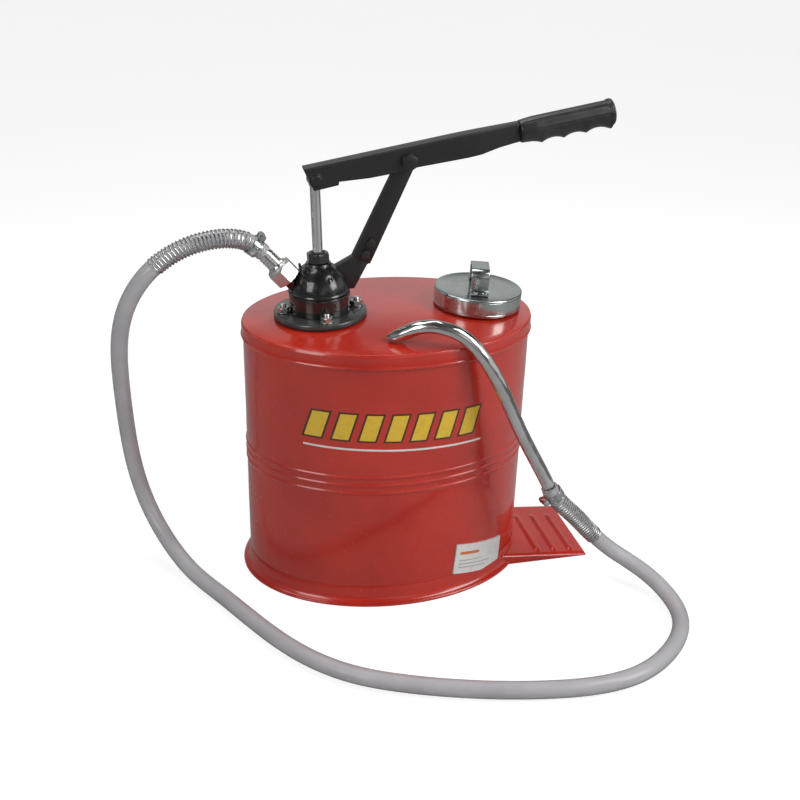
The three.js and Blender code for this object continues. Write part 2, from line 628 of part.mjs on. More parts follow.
function makeOutlet(pump) {
  const outlet = new THREE.Group();
  outlet.position.set(OUTLET_FOOT[0], 0, OUTLET_FOOT[1]);
  outlet.rotation.y = OUTLET_RISE - Math.PI / 2;
  pump.add(outlet);
  const bore = bar([0, 0, -40], [0, 0, 60], 4, 12);
  const stub = hexBar([0, 0, -10], [0, 0, 0], 17);
  const spigot = bar([0, 0, -17], [0, 0, -5], 6.2, 20);
  add(outlet, 'outlet_adapter', cut(join(stub, spigot), bore), BLACK_CASTING);

  const nut = hexBar([0, 0, GAP], [0, 0, 20], 29);
  const tailHole = bar([0, 0, -1], [0, 0, 30], 9.2);
  add(outlet, 'swivel_nut', cut(nut, tailHole), CHROME);
  const tail = turned([
    [5, GAP], [8.8, GAP], [8.8, 20.3], [10.6, 20.3], [10.6, 23.5], [8.8, 25],
    [8.8, HOSE_START - GAP], [5, HOSE_START - GAP], [5, GAP],
  ]);
  add(outlet, 'hose_tail', tail, CHROME);
}

function makeHose(tank) {
  const curve = smoothCurve(HOSE_ROUTE);
  add(tank, 'hose', tube(curve, HOSE_R, HOSE_STEPS, 8), CLEAR_HOSE);
  const guard = (name, from, to) => {
    const stretch = new Stretch(curve, from / HOSE_STEPS, to / HOSE_STEPS);
    add(tank, name, tube(stretch, HOSE_R + 1.9, to - from, 12, HOSE_R + 0.8), STEEL);
  };
  guard('outlet_spring', 1, 6);
  guard('spout_spring', HOSE_STEPS - 5, HOSE_STEPS - 1);

  makeClamp(tank, 'outlet_clamp', curve.getPointAt(0), curve.getPointAt(1 / HOSE_STEPS));
  makeClamp(tank, 'spout_clamp', curve.getPointAt(1), curve.getPointAt(1 - 1 / HOSE_STEPS));

  const spout = smoothCurve(SPOUT_ROUTE);
  const pipe = tube(spout, SPOUT_R, SPOUT_STEPS, 10, SPOUT_BORE);
  const below = box([-60, -120, 300], [20, -60, SPOUT_MOUTH]);
  add(tank, 'spout_tube', cut(pipe, below), CHROME);
}

// --------------------------------------------------------------------- assembly
const oilPump = new THREE.Group();
makeTank(oilPump);
makeFootPlate(oilPump);
oilPump.add(makeFiller());
const pump = onLid(PUMP_X);
makeFlange(pump);
makeHead(pump);
makeBarrel(pump);
makePiston(pump);
makeOutlet(pump);
oilPump.add(pump);
makeArm(oilPump);
oilPump.add(makeLever());
makeHose(oilPump);

export default oilPump;
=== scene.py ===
"""The looks of a hand-operated gear oil pump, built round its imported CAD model.

Outlines are in millimetres, in the frame of the fitting that they belong to, and turn
into metres as they become meshes. +Z is up, -Y is the front and +X runs to the filler.
"""
import json
from math import cos, pi, radians, sin, sqrt, tau

import bmesh
import bpy
import numpy as np
from mathutils import Matrix, Vector, noise


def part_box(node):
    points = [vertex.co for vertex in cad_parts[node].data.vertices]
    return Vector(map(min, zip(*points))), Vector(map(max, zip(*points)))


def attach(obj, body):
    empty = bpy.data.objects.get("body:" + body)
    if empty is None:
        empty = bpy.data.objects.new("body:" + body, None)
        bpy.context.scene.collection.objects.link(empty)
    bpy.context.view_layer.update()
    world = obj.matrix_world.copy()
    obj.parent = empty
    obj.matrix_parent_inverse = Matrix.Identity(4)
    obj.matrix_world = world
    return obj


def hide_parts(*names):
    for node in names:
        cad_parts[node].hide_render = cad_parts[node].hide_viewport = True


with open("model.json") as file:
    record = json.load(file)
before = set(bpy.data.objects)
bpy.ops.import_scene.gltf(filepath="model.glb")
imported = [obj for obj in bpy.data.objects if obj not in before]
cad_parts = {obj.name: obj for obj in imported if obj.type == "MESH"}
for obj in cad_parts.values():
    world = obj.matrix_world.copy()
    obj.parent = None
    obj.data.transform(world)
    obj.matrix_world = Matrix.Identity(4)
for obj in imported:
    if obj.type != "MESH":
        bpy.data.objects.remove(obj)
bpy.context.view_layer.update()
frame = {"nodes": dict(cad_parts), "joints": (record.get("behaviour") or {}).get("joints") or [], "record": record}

MM = 0.001
SHARP = radians(35)                  # edges turned by more than this are bevelled

# ------------------------------------------------------------------ places and sizes
JOINTS = {joint["name"]: joint for joint in frame["joints"]}
BODY_OF = {node: body for body, nodes in frame["record"]["behaviour"]["bodies"].items()
           for node in nodes}

TANK_A, TANK_B = 175, 125.2          # half length and half width of the oval body
WALL = 1.5
BEADS = (156, 166.5, 177)            # heights of the pressed rings
FOOT_FLARE = 9
LID_TOP, LID_RADIUS = 340, 2300      # crown and radius of the domed lid
FLANGE_MIDDLE = 4.1                  # of the pump's flange above the lid
OUTLET_RISE = radians(50)
LEVER_RISE = radians(10.18)
PIVOT = (18, 519)
HOSE_R, HOSE_BORE = 10, 7.3

# The hose's control points, in metres.
HOSE_ROUTE = [
    (-0.149, 0, 0.4176), (-0.1595, 0, 0.429), (-0.176, -0.003, 0.4375),
    (-0.2035, -0.008, 0.44), (-0.238, -0.012, 0.434), (-0.271, -0.013, 0.4155),
    (-0.295, -0.009, 0.388),
    (-0.312, 0.002, 0.35), (-0.319, 0.02, 0.305), (-0.32, 0.042, 0.255),
    (-0.319, 0.06, 0.205), (-0.317, 0.071, 0.155), (-0.312, 0.071, 0.11),
    (-0.301, 0.054, 0.068), (-0.28, 0.02, 0.031), (-0.253, -0.028, 0.01),
    (-0.224, -0.078, 0.011), (-0.199, -0.126, 0.011), (-0.172, -0.176, 0.011),
    (-0.14, -0.223, 0.011), (-0.098, -0.262, 0.011), (-0.05, -0.286, 0.011),
    (0, -0.305, 0.011), (0.055, -0.321, 0.011), (0.11, -0.332, 0.011),
    (0.166, -0.338, 0.011), (0.222, -0.331, 0.011), (0.27, -0.302, 0.011),
    (0.307, -0.262, 0.011), (0.323, -0.213, 0.01), (0.306, -0.156, 0.022),
    (0.267, -0.128, 0.04), (0.232, -0.13, 0.076), (0.203, -0.139, 0.112),
    (0.176, -0.145, 0.137), (0.1676, -0.145, 0.1546),
]


def frame_at(origin, z_axis):
    """A frame in millimetres whose Z is z_axis and whose Y is the tank's Y."""
    z = Vector(z_axis).normalized()
    x = Vector((0, 1, 0)).cross(z).normalized()
    turn = Matrix((x, z.cross(x), z)).transposed().to_4x4()
    return Matrix.Translation(origin) @ turn


def spun(degrees, axis="Z"):
    """A turn about one axis."""
    return Matrix.Rotation(radians(degrees), 4, axis)


def middle(node):
    low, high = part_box(node)
    return (low + high) / 2 / MM


TANK = Matrix.Identity(4)
PUMP_AXIS = Vector(JOINTS["rod_stroke"]["axis"])
PUMP = frame_at(middle("pump_flange") - FLANGE_MIDDLE * PUMP_AXIS, PUMP_AXIS)
FILLER = frame_at(Vector(JOINTS["cap_turn"]["pos_m"]) / MM, JOINTS["cap_turn"]["axis"])
STRAP = FILLER @ spun(75)
LEVER = frame_at(Vector(JOINTS["lever_swing"]["pos_m"]) / MM,
                 (-sin(LEVER_RISE), 0, cos(LEVER_RISE)))
UNION = frame_at((-34.6, 0, 47.4), (-cos(OUTLET_RISE), 0, sin(OUTLET_RISE)))
OUTLET = PUMP @ UNION


# ------------------------------------------------------------------------ materials
class Nodes:
    """The nodes of a material or a world, with a place in its own space to start from."""

    def __init__(self, owner, shader="Principled BSDF", space="Object"):
        owner.use_nodes = True
        self.owner = owner
        self.tree = owner.node_tree
        self.shader = self.tree.nodes[shader]
        self.place = self.add("TexCoord").outputs[space]

    def add(self, kind):
        return self.tree.nodes.new(f"ShaderNode{kind}")

    def link(self, source, target):
        self.tree.links.new(source, target)

    def stretched(self, scale):
        mapping = self.add("Mapping")
        mapping.inputs["Scale"].default_value = scale
        self.link(self.place, mapping.inputs["Vector"])
        return mapping.outputs["Vector"]

    def noise(self, scale, detail=3.0, place=None, distortion=0.0):
        """Noise with scale waves to the metre."""
        node = self.add("TexNoise")
        node.inputs["Scale"].default_value = scale
        node.inputs["Detail"].default_value = detail
        node.inputs["Distortion"].default_value = distortion
        self.link(place or self.place, node.inputs["Vector"])
        return node.outputs["Fac"]

    def ramp(self, value, low, high, out_low=0.0, out_high=1.0):
        """value moved from low..high to out_low..out_high, and kept within them."""
        node = self.add("MapRange")
        self.link(value, node.inputs["Value"])
        for key, number in zip(("From Min", "From Max", "To Min", "To Max"),
                               (low, high, out_low, out_high)):
            node.inputs[key].default_value = number
        return node.outputs["Result"]

    def times(self, first, second):
        node = self.add("Math")
        node.operation = "MULTIPLY"
        node.use_clamp = True
        for socket, value in zip(node.inputs, (first, second)):
            if isinstance(value, (int, float)):
                socket.default_value = value
            else:
                self.link(value, socket)
        return node.outputs["Value"]

    def blend(self, share, first, second):
        """A colour between two, each a colour or a socket."""
        node = self.add("Mix")
        node.data_type = "RGBA"
        self.link(share, node.inputs["Factor"])
        for key, colour in ((6, first), (7, second)):
            if isinstance(colour, tuple):
                node.inputs[key].default_value = (*colour, 1)
            else:
                self.link(colour, node.inputs[key])
        return node.outputs[2]

    def edges(self, low=0.52, high=0.62):
        """Near 1 on a piece's raised edges."""
        return self.ramp(self.add("NewGeometry").outputs["Pointiness"], low, high)

    def height(self):
        split = self.add("SeparateXYZ")
        self.link(self.place, split.inputs["Vector"])
        return split.outputs["Z"]

    def seen(self):
        """1 where the camera looks straight at it, 0 where something mirrors or is lit by it."""
        return self.add("LightPath").outputs["Is Camera Ray"]

    def bump(self, *layers):
        """Bump from (height socket, depth in millimetres) pairs, coarse ones first."""
        normal = None
        for value, depth in layers:
            node = self.add("Bump")
            node.inputs["Distance"].default_value = depth * MM
            self.link(value, node.inputs["Height"])
            if normal:
                self.link(normal, node.inputs["Normal"])
            normal = node.outputs["Normal"]
        self.link(normal, self.shader.inputs["Normal"])

    def done(self, colour, roughness, metallic=0.0, coat=0.0):
        for key, value in (("Base Color", colour), ("Roughness", roughness)):
            self.link(value, self.shader.inputs[key])
        self.shader.inputs["Metallic"].default_value = metallic
        self.shader.inputs["Coat Weight"].default_value = coat
        self.shader.inputs["Coat Roughness"].default_value = 0.04
        return self.owner


def enamel(name, colour, deep, worn, roughness, coat, wave=0.0, grain=0.02):
    """Stoved enamel or powder coat: soft mottling, orange peel, dust and chipped edges."""
    nodes = Nodes(bpy.data.materials.new(name))
    tint = nodes.blend(nodes.ramp(nodes.noise(9, 4), 0.35, 0.7), deep, colour)
    specks = nodes.ramp(nodes.noise(420, 5), 0.66, 0.72)
    chips = nodes.times(nodes.edges(0.6, 0.7), nodes.ramp(nodes.noise(160, 6), 0.55, 0.62))
    tint = nodes.blend(nodes.times(specks, 0.25), tint, deep)
    tint = nodes.blend(chips, tint, worn)
    scuffs = nodes.ramp(nodes.noise(60, 8, distortion=1.5), 0.55, 0.75, roughness,
                        roughness + 0.14)
    layers = [(nodes.noise(900, 2), grain)]
    if wave:
        layers.insert(0, (nodes.noise(11, 2, distortion=0.6), wave))
    nodes.bump(*layers)
    return nodes.done(tint, scuffs, coat=coat)


def plated(name, colour, shade, roughness, brushed=(1, 1, 1), marks=0.1, grain=0.01):
    """Plated or polished metal, with brushing along one way, handling marks and stains."""
    nodes = Nodes(bpy.data.materials.new(name))
    lines = nodes.noise(90, 6, nodes.stretched(brushed))
    cloud = nodes.ramp(nodes.noise(24, 5, distortion=0.8), 0.35, 0.72)
    tint = nodes.blend(cloud, colour, shade)
    tint = nodes.blend(nodes.times(nodes.edges(), 0.35), tint, (0.9, 0.9, 0.9))
    rough = nodes.ramp(lines, 0.3, 0.7, roughness, roughness + marks)
    nodes.bump((lines, grain))
    return nodes.done(tint, rough, metallic=1.0)


def moulded(name, colour, light, roughness, pebble=0.06, coat=0.0):
    """Moulded rubber: a fine pebble, faint bloom and rubbed high spots."""
    nodes = Nodes(bpy.data.materials.new(name))
    bloom = nodes.ramp(nodes.noise(35, 6), 0.45, 0.75)
    tint = nodes.blend(nodes.times(bloom, 0.5), colour, light)
    tint = nodes.blend(nodes.times(nodes.edges(), 0.5), tint, light)
    rough = nodes.ramp(nodes.noise(70, 5), 0.35, 0.7, roughness, roughness + 0.16)
    nodes.bump((nodes.noise(1300, 2), pebble))
    return nodes.done(tint, rough, coat=coat)


def clear_plastic(name):
    """Clear PVC: nearly white face on, with painted shade that greys it along its edges where it turns from the
    view, and drawing lines.
    """
    nodes = Nodes(bpy.data.materials.new(name))
    facing = nodes.add("LayerWeight")
    facing.inputs["Blend"].default_value = 0.35
    # painted shade: the colour greys towards the rims as the surface turns away from the view, standing in for the
    # dark edges that light bent through a clear tube gives
    edge = nodes.ramp(facing.outputs["Facing"], 0.25, 0.95)
    haze = nodes.ramp(nodes.noise(28, 4), 0.4, 0.7)
    tint = nodes.blend(edge, (0.88, 0.87, 0.9), (0.3, 0.3, 0.31))
    tint = nodes.blend(nodes.times(haze, 0.4), tint, (0.66, 0.65, 0.68))
    rough = nodes.ramp(nodes.noise(50, 5), 0.4, 0.7, 0.07, 0.2)
    nodes.bump((nodes.noise(45, 4, distortion=0.5), 0.25))
    nodes.shader.inputs["Transmission Weight"].default_value = 0.6
    nodes.shader.inputs["IOR"].default_value = 1.32
    return nodes.done(tint, rough)


def printed(name, colour, shade):
    """A printed film: even ink with faint rubbing."""
    nodes = Nodes(bpy.data.materials.new(name))
    rubbed = nodes.ramp(nodes.noise(140, 6), 0.5, 0.72)
    tint = nodes.blend(nodes.times(rubbed, 0.6), colour, shade)
    rough = nodes.ramp(nodes.noise(60, 4), 0.4, 0.7, 0.3, 0.42)
    nodes.bump((nodes.noise(700, 2), 0.01))
    return nodes.done(tint, rough, coat=0.3)


FINISHES = {
    "red_enamel": enamel("red_enamel", (0.62, 0.032, 0.014), (0.5, 0.022, 0.012),
                         (0.7, 0.2, 0.14), 0.2, 0.7, wave=1.2),
    "black_casting": enamel("black_casting", (0.012, 0.012, 0.011), (0.006, 0.006, 0.006),
                            (0.09, 0.085, 0.075), 0.17, 0.6, wave=0.5, grain=0.08),
    "black_enamel": enamel("black_enamel", (0.018, 0.018, 0.018), (0.012, 0.012, 0.012),
                           (0.1, 0.1, 0.1), 0.4, 0.1, grain=0.05),
    "dark_plate": enamel("dark_plate", (0.05, 0.055, 0.052), (0.028, 0.03, 0.029),
                         (0.4, 0.4, 0.39), 0.22, 0.4),
    "zinc_plate": plated("zinc_plate", (0.50, 0.545, 0.53), (0.38, 0.43, 0.415), 0.13,
                         (6, 0.5, 6), 0.1),
    "chrome": plated("chrome", (0.72, 0.72, 0.71), (0.58, 0.58, 0.57), 0.05, marks=0.06,
                     grain=0.004),
    "steel": plated("steel", (0.56, 0.56, 0.55), (0.36, 0.36, 0.35), 0.2, (1, 1, 5), 0.14),
    "brass": plated("brass", (0.62, 0.44, 0.17), (0.42, 0.28, 0.1), 0.24, (4, 4, 1), 0.12),
    "nickel": plated("nickel", (0.66, 0.66, 0.65), (0.5, 0.5, 0.49), 0.36, marks=0.14),
    "rubber": moulded("rubber", (0.016, 0.016, 0.016), (0.05, 0.05, 0.05), 0.55),
    "grip_rubber": moulded("grip_rubber", (0.011, 0.011, 0.011), (0.04, 0.04, 0.04), 0.3,
                           0.05, coat=0.25),
    "clear_hose": clear_plastic("clear_hose"),
}
YELLOW = printed("yellow_film", (0.86, 0.56, 0.045), (0.7, 0.42, 0.03))
DARK_FILM = printed("dark_film", (0.06, 0.025, 0.008), (0.12, 0.05, 0.02))
WHITE_FILM = printed("white_film", (0.83, 0.83, 0.81), (0.66, 0.65, 0.63))
GREY_FILM = printed("grey_film", (0.4, 0.4, 0.4), (0.5, 0.5, 0.5))
ORANGE_FILM = printed("orange_film", (0.75, 0.2, 0.04), (0.6, 0.15, 0.03))


# --------------------------------------------------------------------- solid helpers
# A solid is (points, faces), with its points in millimetres.
def loft(rings, wrap=False):
    """Quads between rings of points, capped at both ends unless the last ring meets the first."""
    rings = np.asarray(rings, float)
    count, size = rings.shape[:2]
    faces = []
    for i in range(count if wrap else count - 1):
        a, b = i * size, (i + 1) % count * size
        faces += [(a + j, a + (j + 1) % size, b + (j + 1) % size, b + j) for j in range(size)]
    for start in () if wrap else (0, (count - 1) * size):
        ring = rings.reshape(-1, 3)[start:start + size]
        if np.ptp(ring, axis=0).max() > 1e-6:
            faces.append(tuple(range(start, start + size)))
    return rings.reshape(-1, 3), faces


def rounded(outline, radius, steps=3, closed=True):
    """An outline with its corners rounded off, as far as its sides allow.

    radius and steps are one number, or one for each corner.
    """
    points = [np.array(p, float) for p in outline]
    count = len(points)
    radii, spans = np.broadcast_to(radius, count), np.broadcast_to(steps, count)
    result = []
    for i, corner in enumerate(points):
        if not closed and i in (0, count - 1):
            result.append(corner)
            continue
        before, after = points[i - 1] - corner, points[(i + 1) % count] - corner
        lengths = np.linalg.norm(before), np.linalg.norm(after)
        back, on = before / lengths[0], after / lengths[1]
        half = np.arccos(np.clip(back @ on, -1, 1)) / 2
        cut_off = min(radii[i] / max(np.tan(half), 0.2), 0.45 * min(lengths))
        first, last = corner + cut_off * back, corner + cut_off * on
        for k in range(spans[i] + 1):
            t = k / spans[i]
            result.append((1 - t) ** 2 * first + 2 * t * (1 - t) * corner + t * t * last)
    return result


def rectangle(x0, x1, y0, y1):
    return [(x0, y0), (x1, y0), (x1, y1), (x0, y1)]


def around(count):
    return np.linspace(0, tau, count, endpoint=False)


def turned(profile, sides=72, soften=0.0):
    """A piece turned about Z from (radius, height) pairs: on the axis at both ends, or a loop."""
    on_axis = profile[0][0] == 0
    if soften:
        profile = rounded(profile, soften, closed=not on_axis)
    angle = around(sides)
    rings = [np.stack([r * np.cos(angle), r * np.sin(angle), np.full(sides, z)], 1)
             for r, z in profile]
    return loft(rings, wrap=not on_axis)


def ring(inner, outer, z0, z1, soften=0.3, sides=72):
    return turned(rectangle(inner, outer, z0, z1), sides, soften)


def rod(radius, z0, z1, sides=48):
    return turned(rectangle(0, radius, z0, z1), sides)


def plate(outline, y0, y1, soften=0.0):
    """An outline of (x, z) pairs, given thickness along Y."""
    if soften:
        outline = rounded(outline, soften)
    return loft([[(x, y, z) for x, z in outline] for y in (y0, y1)])


def hexagon(flats, z0, z1, bore=0.0):
    """A hexagon about Z with its corners chamfered at both ends."""
    angle = around(72)
    reach = flats / 2 / np.cos((angle + pi / 6) % (pi / 3) - pi / 6)
    face = 0.47 * flats
    drop = (reach - face) * 0.5

    def at(radius, height):
        radius = np.broadcast_to(radius, angle.shape)
        height = np.broadcast_to(height, angle.shape)
        return np.stack([radius * np.cos(angle), radius * np.sin(angle), height], 1)

    return loft([at(bore, z0), at(face, z0), at(reach, z0 + drop), at(reach, z1 - drop),
                 at(face, z1), at(bore, z1)], wrap=bore > 0)


def threaded(radius, z0, z1, pitch=1.5, sides=36):
    """A screw thread about Z."""
    angle = around(sides)
    rings = []
    for z in np.arange(z0, z1, pitch / 4):
        phase = (z / pitch - angle / tau) % 1
        depth = 0.5 * pitch * np.abs(2 * phase - 1)
        r = radius - depth
        rings.append(np.stack([r * np.cos(angle), r * np.sin(angle), np.full(sides, z)], 1))
    return loft(rings)


def moved(shape, place):
    points, faces = shape
    turn = np.array(place)
    return points @ turn[:3, :3].T + turn[:3, 3], faces


def along_x(shape, height=0.0):
    """A shape made about Z, laid along X at a height."""
    return moved(shape, Matrix.Translation((0, 0, height)) @ spun(90, "Y"))


def along_y(shape, place, back=False):
    """A shape made about Z, laid along -Y, or along Y, through a point of the XZ plane."""
    turn = spun(-90 if back else 90, "X")
    return moved(shape, Matrix.Translation((place[0], 0, place[1])) @ turn)


def smooth_curve(route, steps):
    """Evenly spaced points of the clamped cubic curve drawn by control points."""
    spans = len(route) - 3
    knots = np.concatenate(([0.0] * 3, np.arange(spans + 1), [spans] * 3))
    samples = 60 * spans
    t = np.linspace(0, spans - 1e-9, samples)

    def share(low, high):
        return (t - low) / (high - low) if high != low else 0 * t

    weight = [(low <= t) * (t < high) * 1.0 for low, high in zip(knots, knots[1:])]
    for degree in (1, 2, 3):
        weight = [share(knots[i], knots[i + degree]) * weight[i]
                  + share(knots[i + degree + 1], knots[i + 1]) * weight[i + 1]
                  for i in range(len(weight) - 1)]
    return evenly(np.stack(weight, 1) @ (np.array(route, float) / MM), steps)


def length_of(line):
    return np.linalg.norm(np.diff(line, axis=0), axis=1).sum()


def evenly(line, steps):
    gone = np.concatenate(([0], np.cumsum(np.linalg.norm(np.diff(line, axis=0), axis=1))))
    at = np.linspace(0, gone[-1], steps + 1)
    return np.stack([np.interp(at, gone, line[:, k]) for k in range(3)], 1)


def directions(line):
    """Two directions square to a path at each of its points, that turn as little as they can."""
    tangent = np.gradient(line, axis=0)
    tangent /= np.linalg.norm(tangent, axis=1)[:, None]
    side = np.cross(tangent[0], (0.31, 0.95, 0.05))
    sides = []
    for forward in tangent:
        side = side - (side @ forward) * forward
        side /= np.linalg.norm(side)
        sides.append(side)
    sides = np.array(sides)
    return sides, np.cross(tangent, sides)


def rings_along(line, angle, radius):
    """Rings round a path, with one radius or one for each angle."""
    first, second = directions(line)
    circle = first[:, None] * np.cos(angle)[:, None] + second[:, None] * np.sin(angle)[:, None]
    return line[:, None] + np.broadcast_to(radius, angle.shape)[:, None] * circle


def tube(line, radius, sides):
    return loft(rings_along(line, around(sides), radius))


def placed(name, data):
    """An object in the scene, of a mesh, a camera or a light."""
    if isinstance(data, bmesh.types.BMesh):
        mesh = bpy.data.meshes.new(name)
        data.to_mesh(mesh)
        data.free()
        data = mesh
    thing = bpy.data.objects.new(name, data)
    bpy.context.scene.collection.objects.link(thing)
    return thing


def scratch(*shapes):
    """A throw-away object of solids, with their faces turned outwards."""
    return placed("scratch", shape_mesh(shapes))


def settled(piece, *tools):
    """The solid that a scratch object's modifiers make of it."""
    bpy.context.view_layer.update()
    final = bpy.data.meshes.new_from_object(
        piece.evaluated_get(bpy.context.evaluated_depsgraph_get()))
    shape = (np.array([v.co for v in final.vertices]),
             [tuple(face.vertices) for face in final.polygons])
    bpy.data.meshes.remove(final)
    for used in (piece, *tools):
        bpy.data.objects.remove(used)
    return shape


def cut(shape, *tools):
    """A solid with others taken out of it."""
    piece = scratch(shape)
    cutters = [scratch(tool) for tool in tools]
    for cutter in cutters:
        modifier = piece.modifiers.new("cut", "BOOLEAN")
        modifier.operation = "DIFFERENCE"
        modifier.object = cutter
    return settled(piece, *cutters)


def cast(shapes, grain=0.8, rounds=5):
    """Solids fused into one casting, with the fillets that a mould leaves between them."""
    piece = scratch(*shapes)
    fuse = piece.modifiers.new("fuse", "REMESH")
    fuse.mode = "VOXEL"
    fuse.voxel_size = grain
    fillet = piece.modifiers.new("fillet", "SMOOTH")
    fillet.iterations = rounds
    return settled(piece)


def shape_mesh(shapes):
    bm = bmesh.new()
    for points, faces in shapes:
        verts = [bm.verts.new(point) for point in points]
        for face in faces:
            bm.faces.new([verts[i] for i in face])
    bmesh.ops.remove_doubles(bm, verts=bm.verts, dist=2e-4)
    bmesh.ops.recalc_face_normals(bm, faces=bm.faces)
    return bm


def piece_of(name, shapes, finish, at=TANK, bevel=0.0, smooth=38):
    """A piece made of solids, with its sharp edges bevelled and its round ones smooth."""
    bm = shape_mesh(shapes)
    if bevel:
        sharp = [edge for edge in bm.edges
                 if len(edge.link_faces) == 2 and edge.calc_face_angle() > SHARP]
        bmesh.ops.bevel(bm, geom=sharp, offset=bevel, segments=2, profile=0.5,
                        affect="EDGES", clamp_overlap=True)
    bm.transform(Matrix.Scale(MM, 4) @ at)
    piece = placed(name, bm)
    mesh = piece.data
    mesh.polygons.foreach_set("use_smooth", [True] * len(mesh.polygons))
    mesh.set_sharp_from_angle(angle=radians(smooth))
    mesh.materials.append(FINISHES.get(finish) or finish)
    return piece


def rebuild(node, shapes, finish, at=TANK, **look):
    """A finely made piece that stands for a CAD node and moves with its body."""
    piece = piece_of(f"{node}_made", shapes, finish, at, **look)
    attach(piece, BODY_OF[node])
    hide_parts(node)
    return piece


def smoothed_node(node, finish, regain):
    """A CAD node shown as it is packed, with its facets smoothed and its material changed.

    Smoothing draws a tube in towards its middle, and regain puts that back.
    """
    piece = frame["nodes"][node]
    piece.modifiers.new("weld", "WELD").merge_threshold = 0.001 * MM
    smooth = piece.modifiers.new("smooth", "SUBSURF")
    smooth.levels = smooth.render_levels = 2
    swell = piece.modifiers.new("swell", "DISPLACE")
    swell.mid_level = 0
    swell.strength = regain * MM
    piece.modifiers.new("shading", "NODES").node_group = smooth_shading()
    for slot in piece.material_slots:
        slot.link = "OBJECT"
        slot.material = FINISHES[finish]
    return piece


def smooth_shading():
    group = bpy.data.node_groups.new("smooth_shading", "GeometryNodeTree")
    for way in ("INPUT", "OUTPUT"):
        group.interface.new_socket("Geometry", in_out=way, socket_type="NodeSocketGeometry")
    source = group.nodes.new("NodeGroupInput")
    shade = group.nodes.new("GeometryNodeSetShadeSmooth")
    target = group.nodes.new("NodeGroupOutput")
    group.links.new(source.outputs[0], shade.inputs["Geometry"])
    group.links.new(shade.outputs["Geometry"], target.inputs[0])
    return group


def extra(name, shapes, finish, body, at=TANK, slot=None, **look):
    """A piece with no CAD node of its own."""
    piece = piece_of(name, shapes, finish, at, **look)
    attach(piece, body)
    return piece


# ------------------------------------------------------------------ camera and stage
def make_camera():
    camera = placed("camera", bpy.data.cameras.new("camera"))
    camera.data.lens = 51.05
    view, up = Vector((0.2262, 0.8696, -0.4389)), Vector((0.0824, 0.4319, 0.8982))
    back = -view.normalized()
    right = up.cross(back).normalized()
    turn = Matrix((right, back.cross(right), back)).transposed().to_4x4()
    camera.matrix_world = Matrix.Translation((-0.3045, -1.2389, 0.8399)) @ turn
    bpy.context.scene.camera = camera


def area_light(name, place, target, size, power):
    light = bpy.data.lights.new(name, "AREA")
    light.shape = "RECTANGLE"
    light.size, light.size_y = size
    light.energy = power
    lamp = placed(name, light)
    lamp.location = place
    aim = Vector(target) - Vector(place)
    lamp.rotation_euler = aim.to_track_quat("-Z", "Y").to_euler()


def make_studio():
    """A white room for the camera, and a softer, uneven one for what the object mirrors."""
    world = bpy.data.worlds.new("studio")
    bpy.context.scene.world = world
    nodes = Nodes(world, "Background", "Generated")
    patches = nodes.ramp(nodes.noise(1.7, 1), 0.36, 0.62, 0.1, 0.62)
    darker_above = nodes.ramp(nodes.height(), 0.38, 0.52, 1, 0.35)
    mirrored = nodes.times(patches, darker_above)
    nodes.link(nodes.blend(nodes.seen(), mirrored, (1, 1, 1)), nodes.shader.inputs["Color"])

    bm = bmesh.new()
    bmesh.ops.create_grid(bm, x_segments=8, y_segments=8, size=14)
    floor = placed("floor", bm)
    floor.location.z = -0.0005
    nodes = Nodes(bpy.data.materials.new("floor"))
    tone = nodes.blend(nodes.noise(0.8, 2), (0.33, 0.33, 0.33), (0.38, 0.38, 0.38))
    glow = nodes.ramp(nodes.seen(), 0, 1, 0.05, 0.82)
    nodes.shader.inputs["Emission Color"].default_value = (1, 1, 1, 1)
    nodes.link(glow, nodes.shader.inputs["Emission Strength"])
    floor.data.materials.append(nodes.done(tone, nodes.ramp(nodes.noise(5), 0, 1, 0.7, 0.8)))

    area_light("key", (1.3, -1.0, 1.5), (0, 0, 0.25), (0.9, 1.7), 27)
    area_light("fill", (-1.5, -1.2, 1.2), (0, 0, 0.2), (0.8, 1.2), 11)
    area_light("top", (-0.2, 0.5, 1.9), (0, 0, 0.3), (1.5, 0.8), 11)
    bpy.context.scene.view_settings.view_transform = "Standard"


# ------------------------------------------------------------------------------ hose
def make_clamp(node, end, inside):
    """A worm-screw band round the hose, with slots pressed in it and a screw in its housing."""
    aim = Vector(inside - end).normalized()
    at = Matrix.Translation(end) @ Vector((0, 0, 1)).rotation_difference(aim).to_matrix().to_4x4()
    inner, outer, low, high = HOSE_R + 0.4, HOSE_R + 1.5, 8, 19
    centre = (low + high) / 2
    axis = outer + 3
    band = ring(inner, outer, low, high, 0.4, 96)
    rims = [ring(outer - 0.3, outer + 0.35, z, z + 1.2, 0.3, 96) for z in (low, high - 1.2)]
    slots = []
    for angle in np.arange(40, 325, 11):
        bar = rectangle(outer - 0.2, outer + 0.25, centre - 2.6, centre + 2.6)
        slots.append(moved(plate(bar, -0.45, 0.45), spun(angle)))
    housing = plate([(outer - 0.4, low + 1), (outer + 5, low + 1), (outer + 6.2, low + 2.4),
                     (outer + 6.2, high - 2.4), (outer + 5, high - 1), (outer - 0.4, high - 1)],
                    -5, 5)
    rebuild(node, [band, *rims, *slots, housing], "zinc_plate", at, bevel=0.25)

    screw_at = at @ Matrix.Translation((axis, 0, centre)) @ spun(-90, "X")
    head = cut(hexagon(6, 5.3, 9), slab((-4, 4), (-0.5, 0.5), (8, 10)))
    rebuild(f"{node}_screw", [threaded(2.5, -6.5, 7, 1.2), head, ring(0.5, 4, 5.2, 5.9)],
            "steel", screw_at)


def slab(xs, ys, zs):
    """A box from its limits along each axis."""
    return loft([[(x, y, z) for x, y in rectangle(*xs, *ys)] for z in zs])


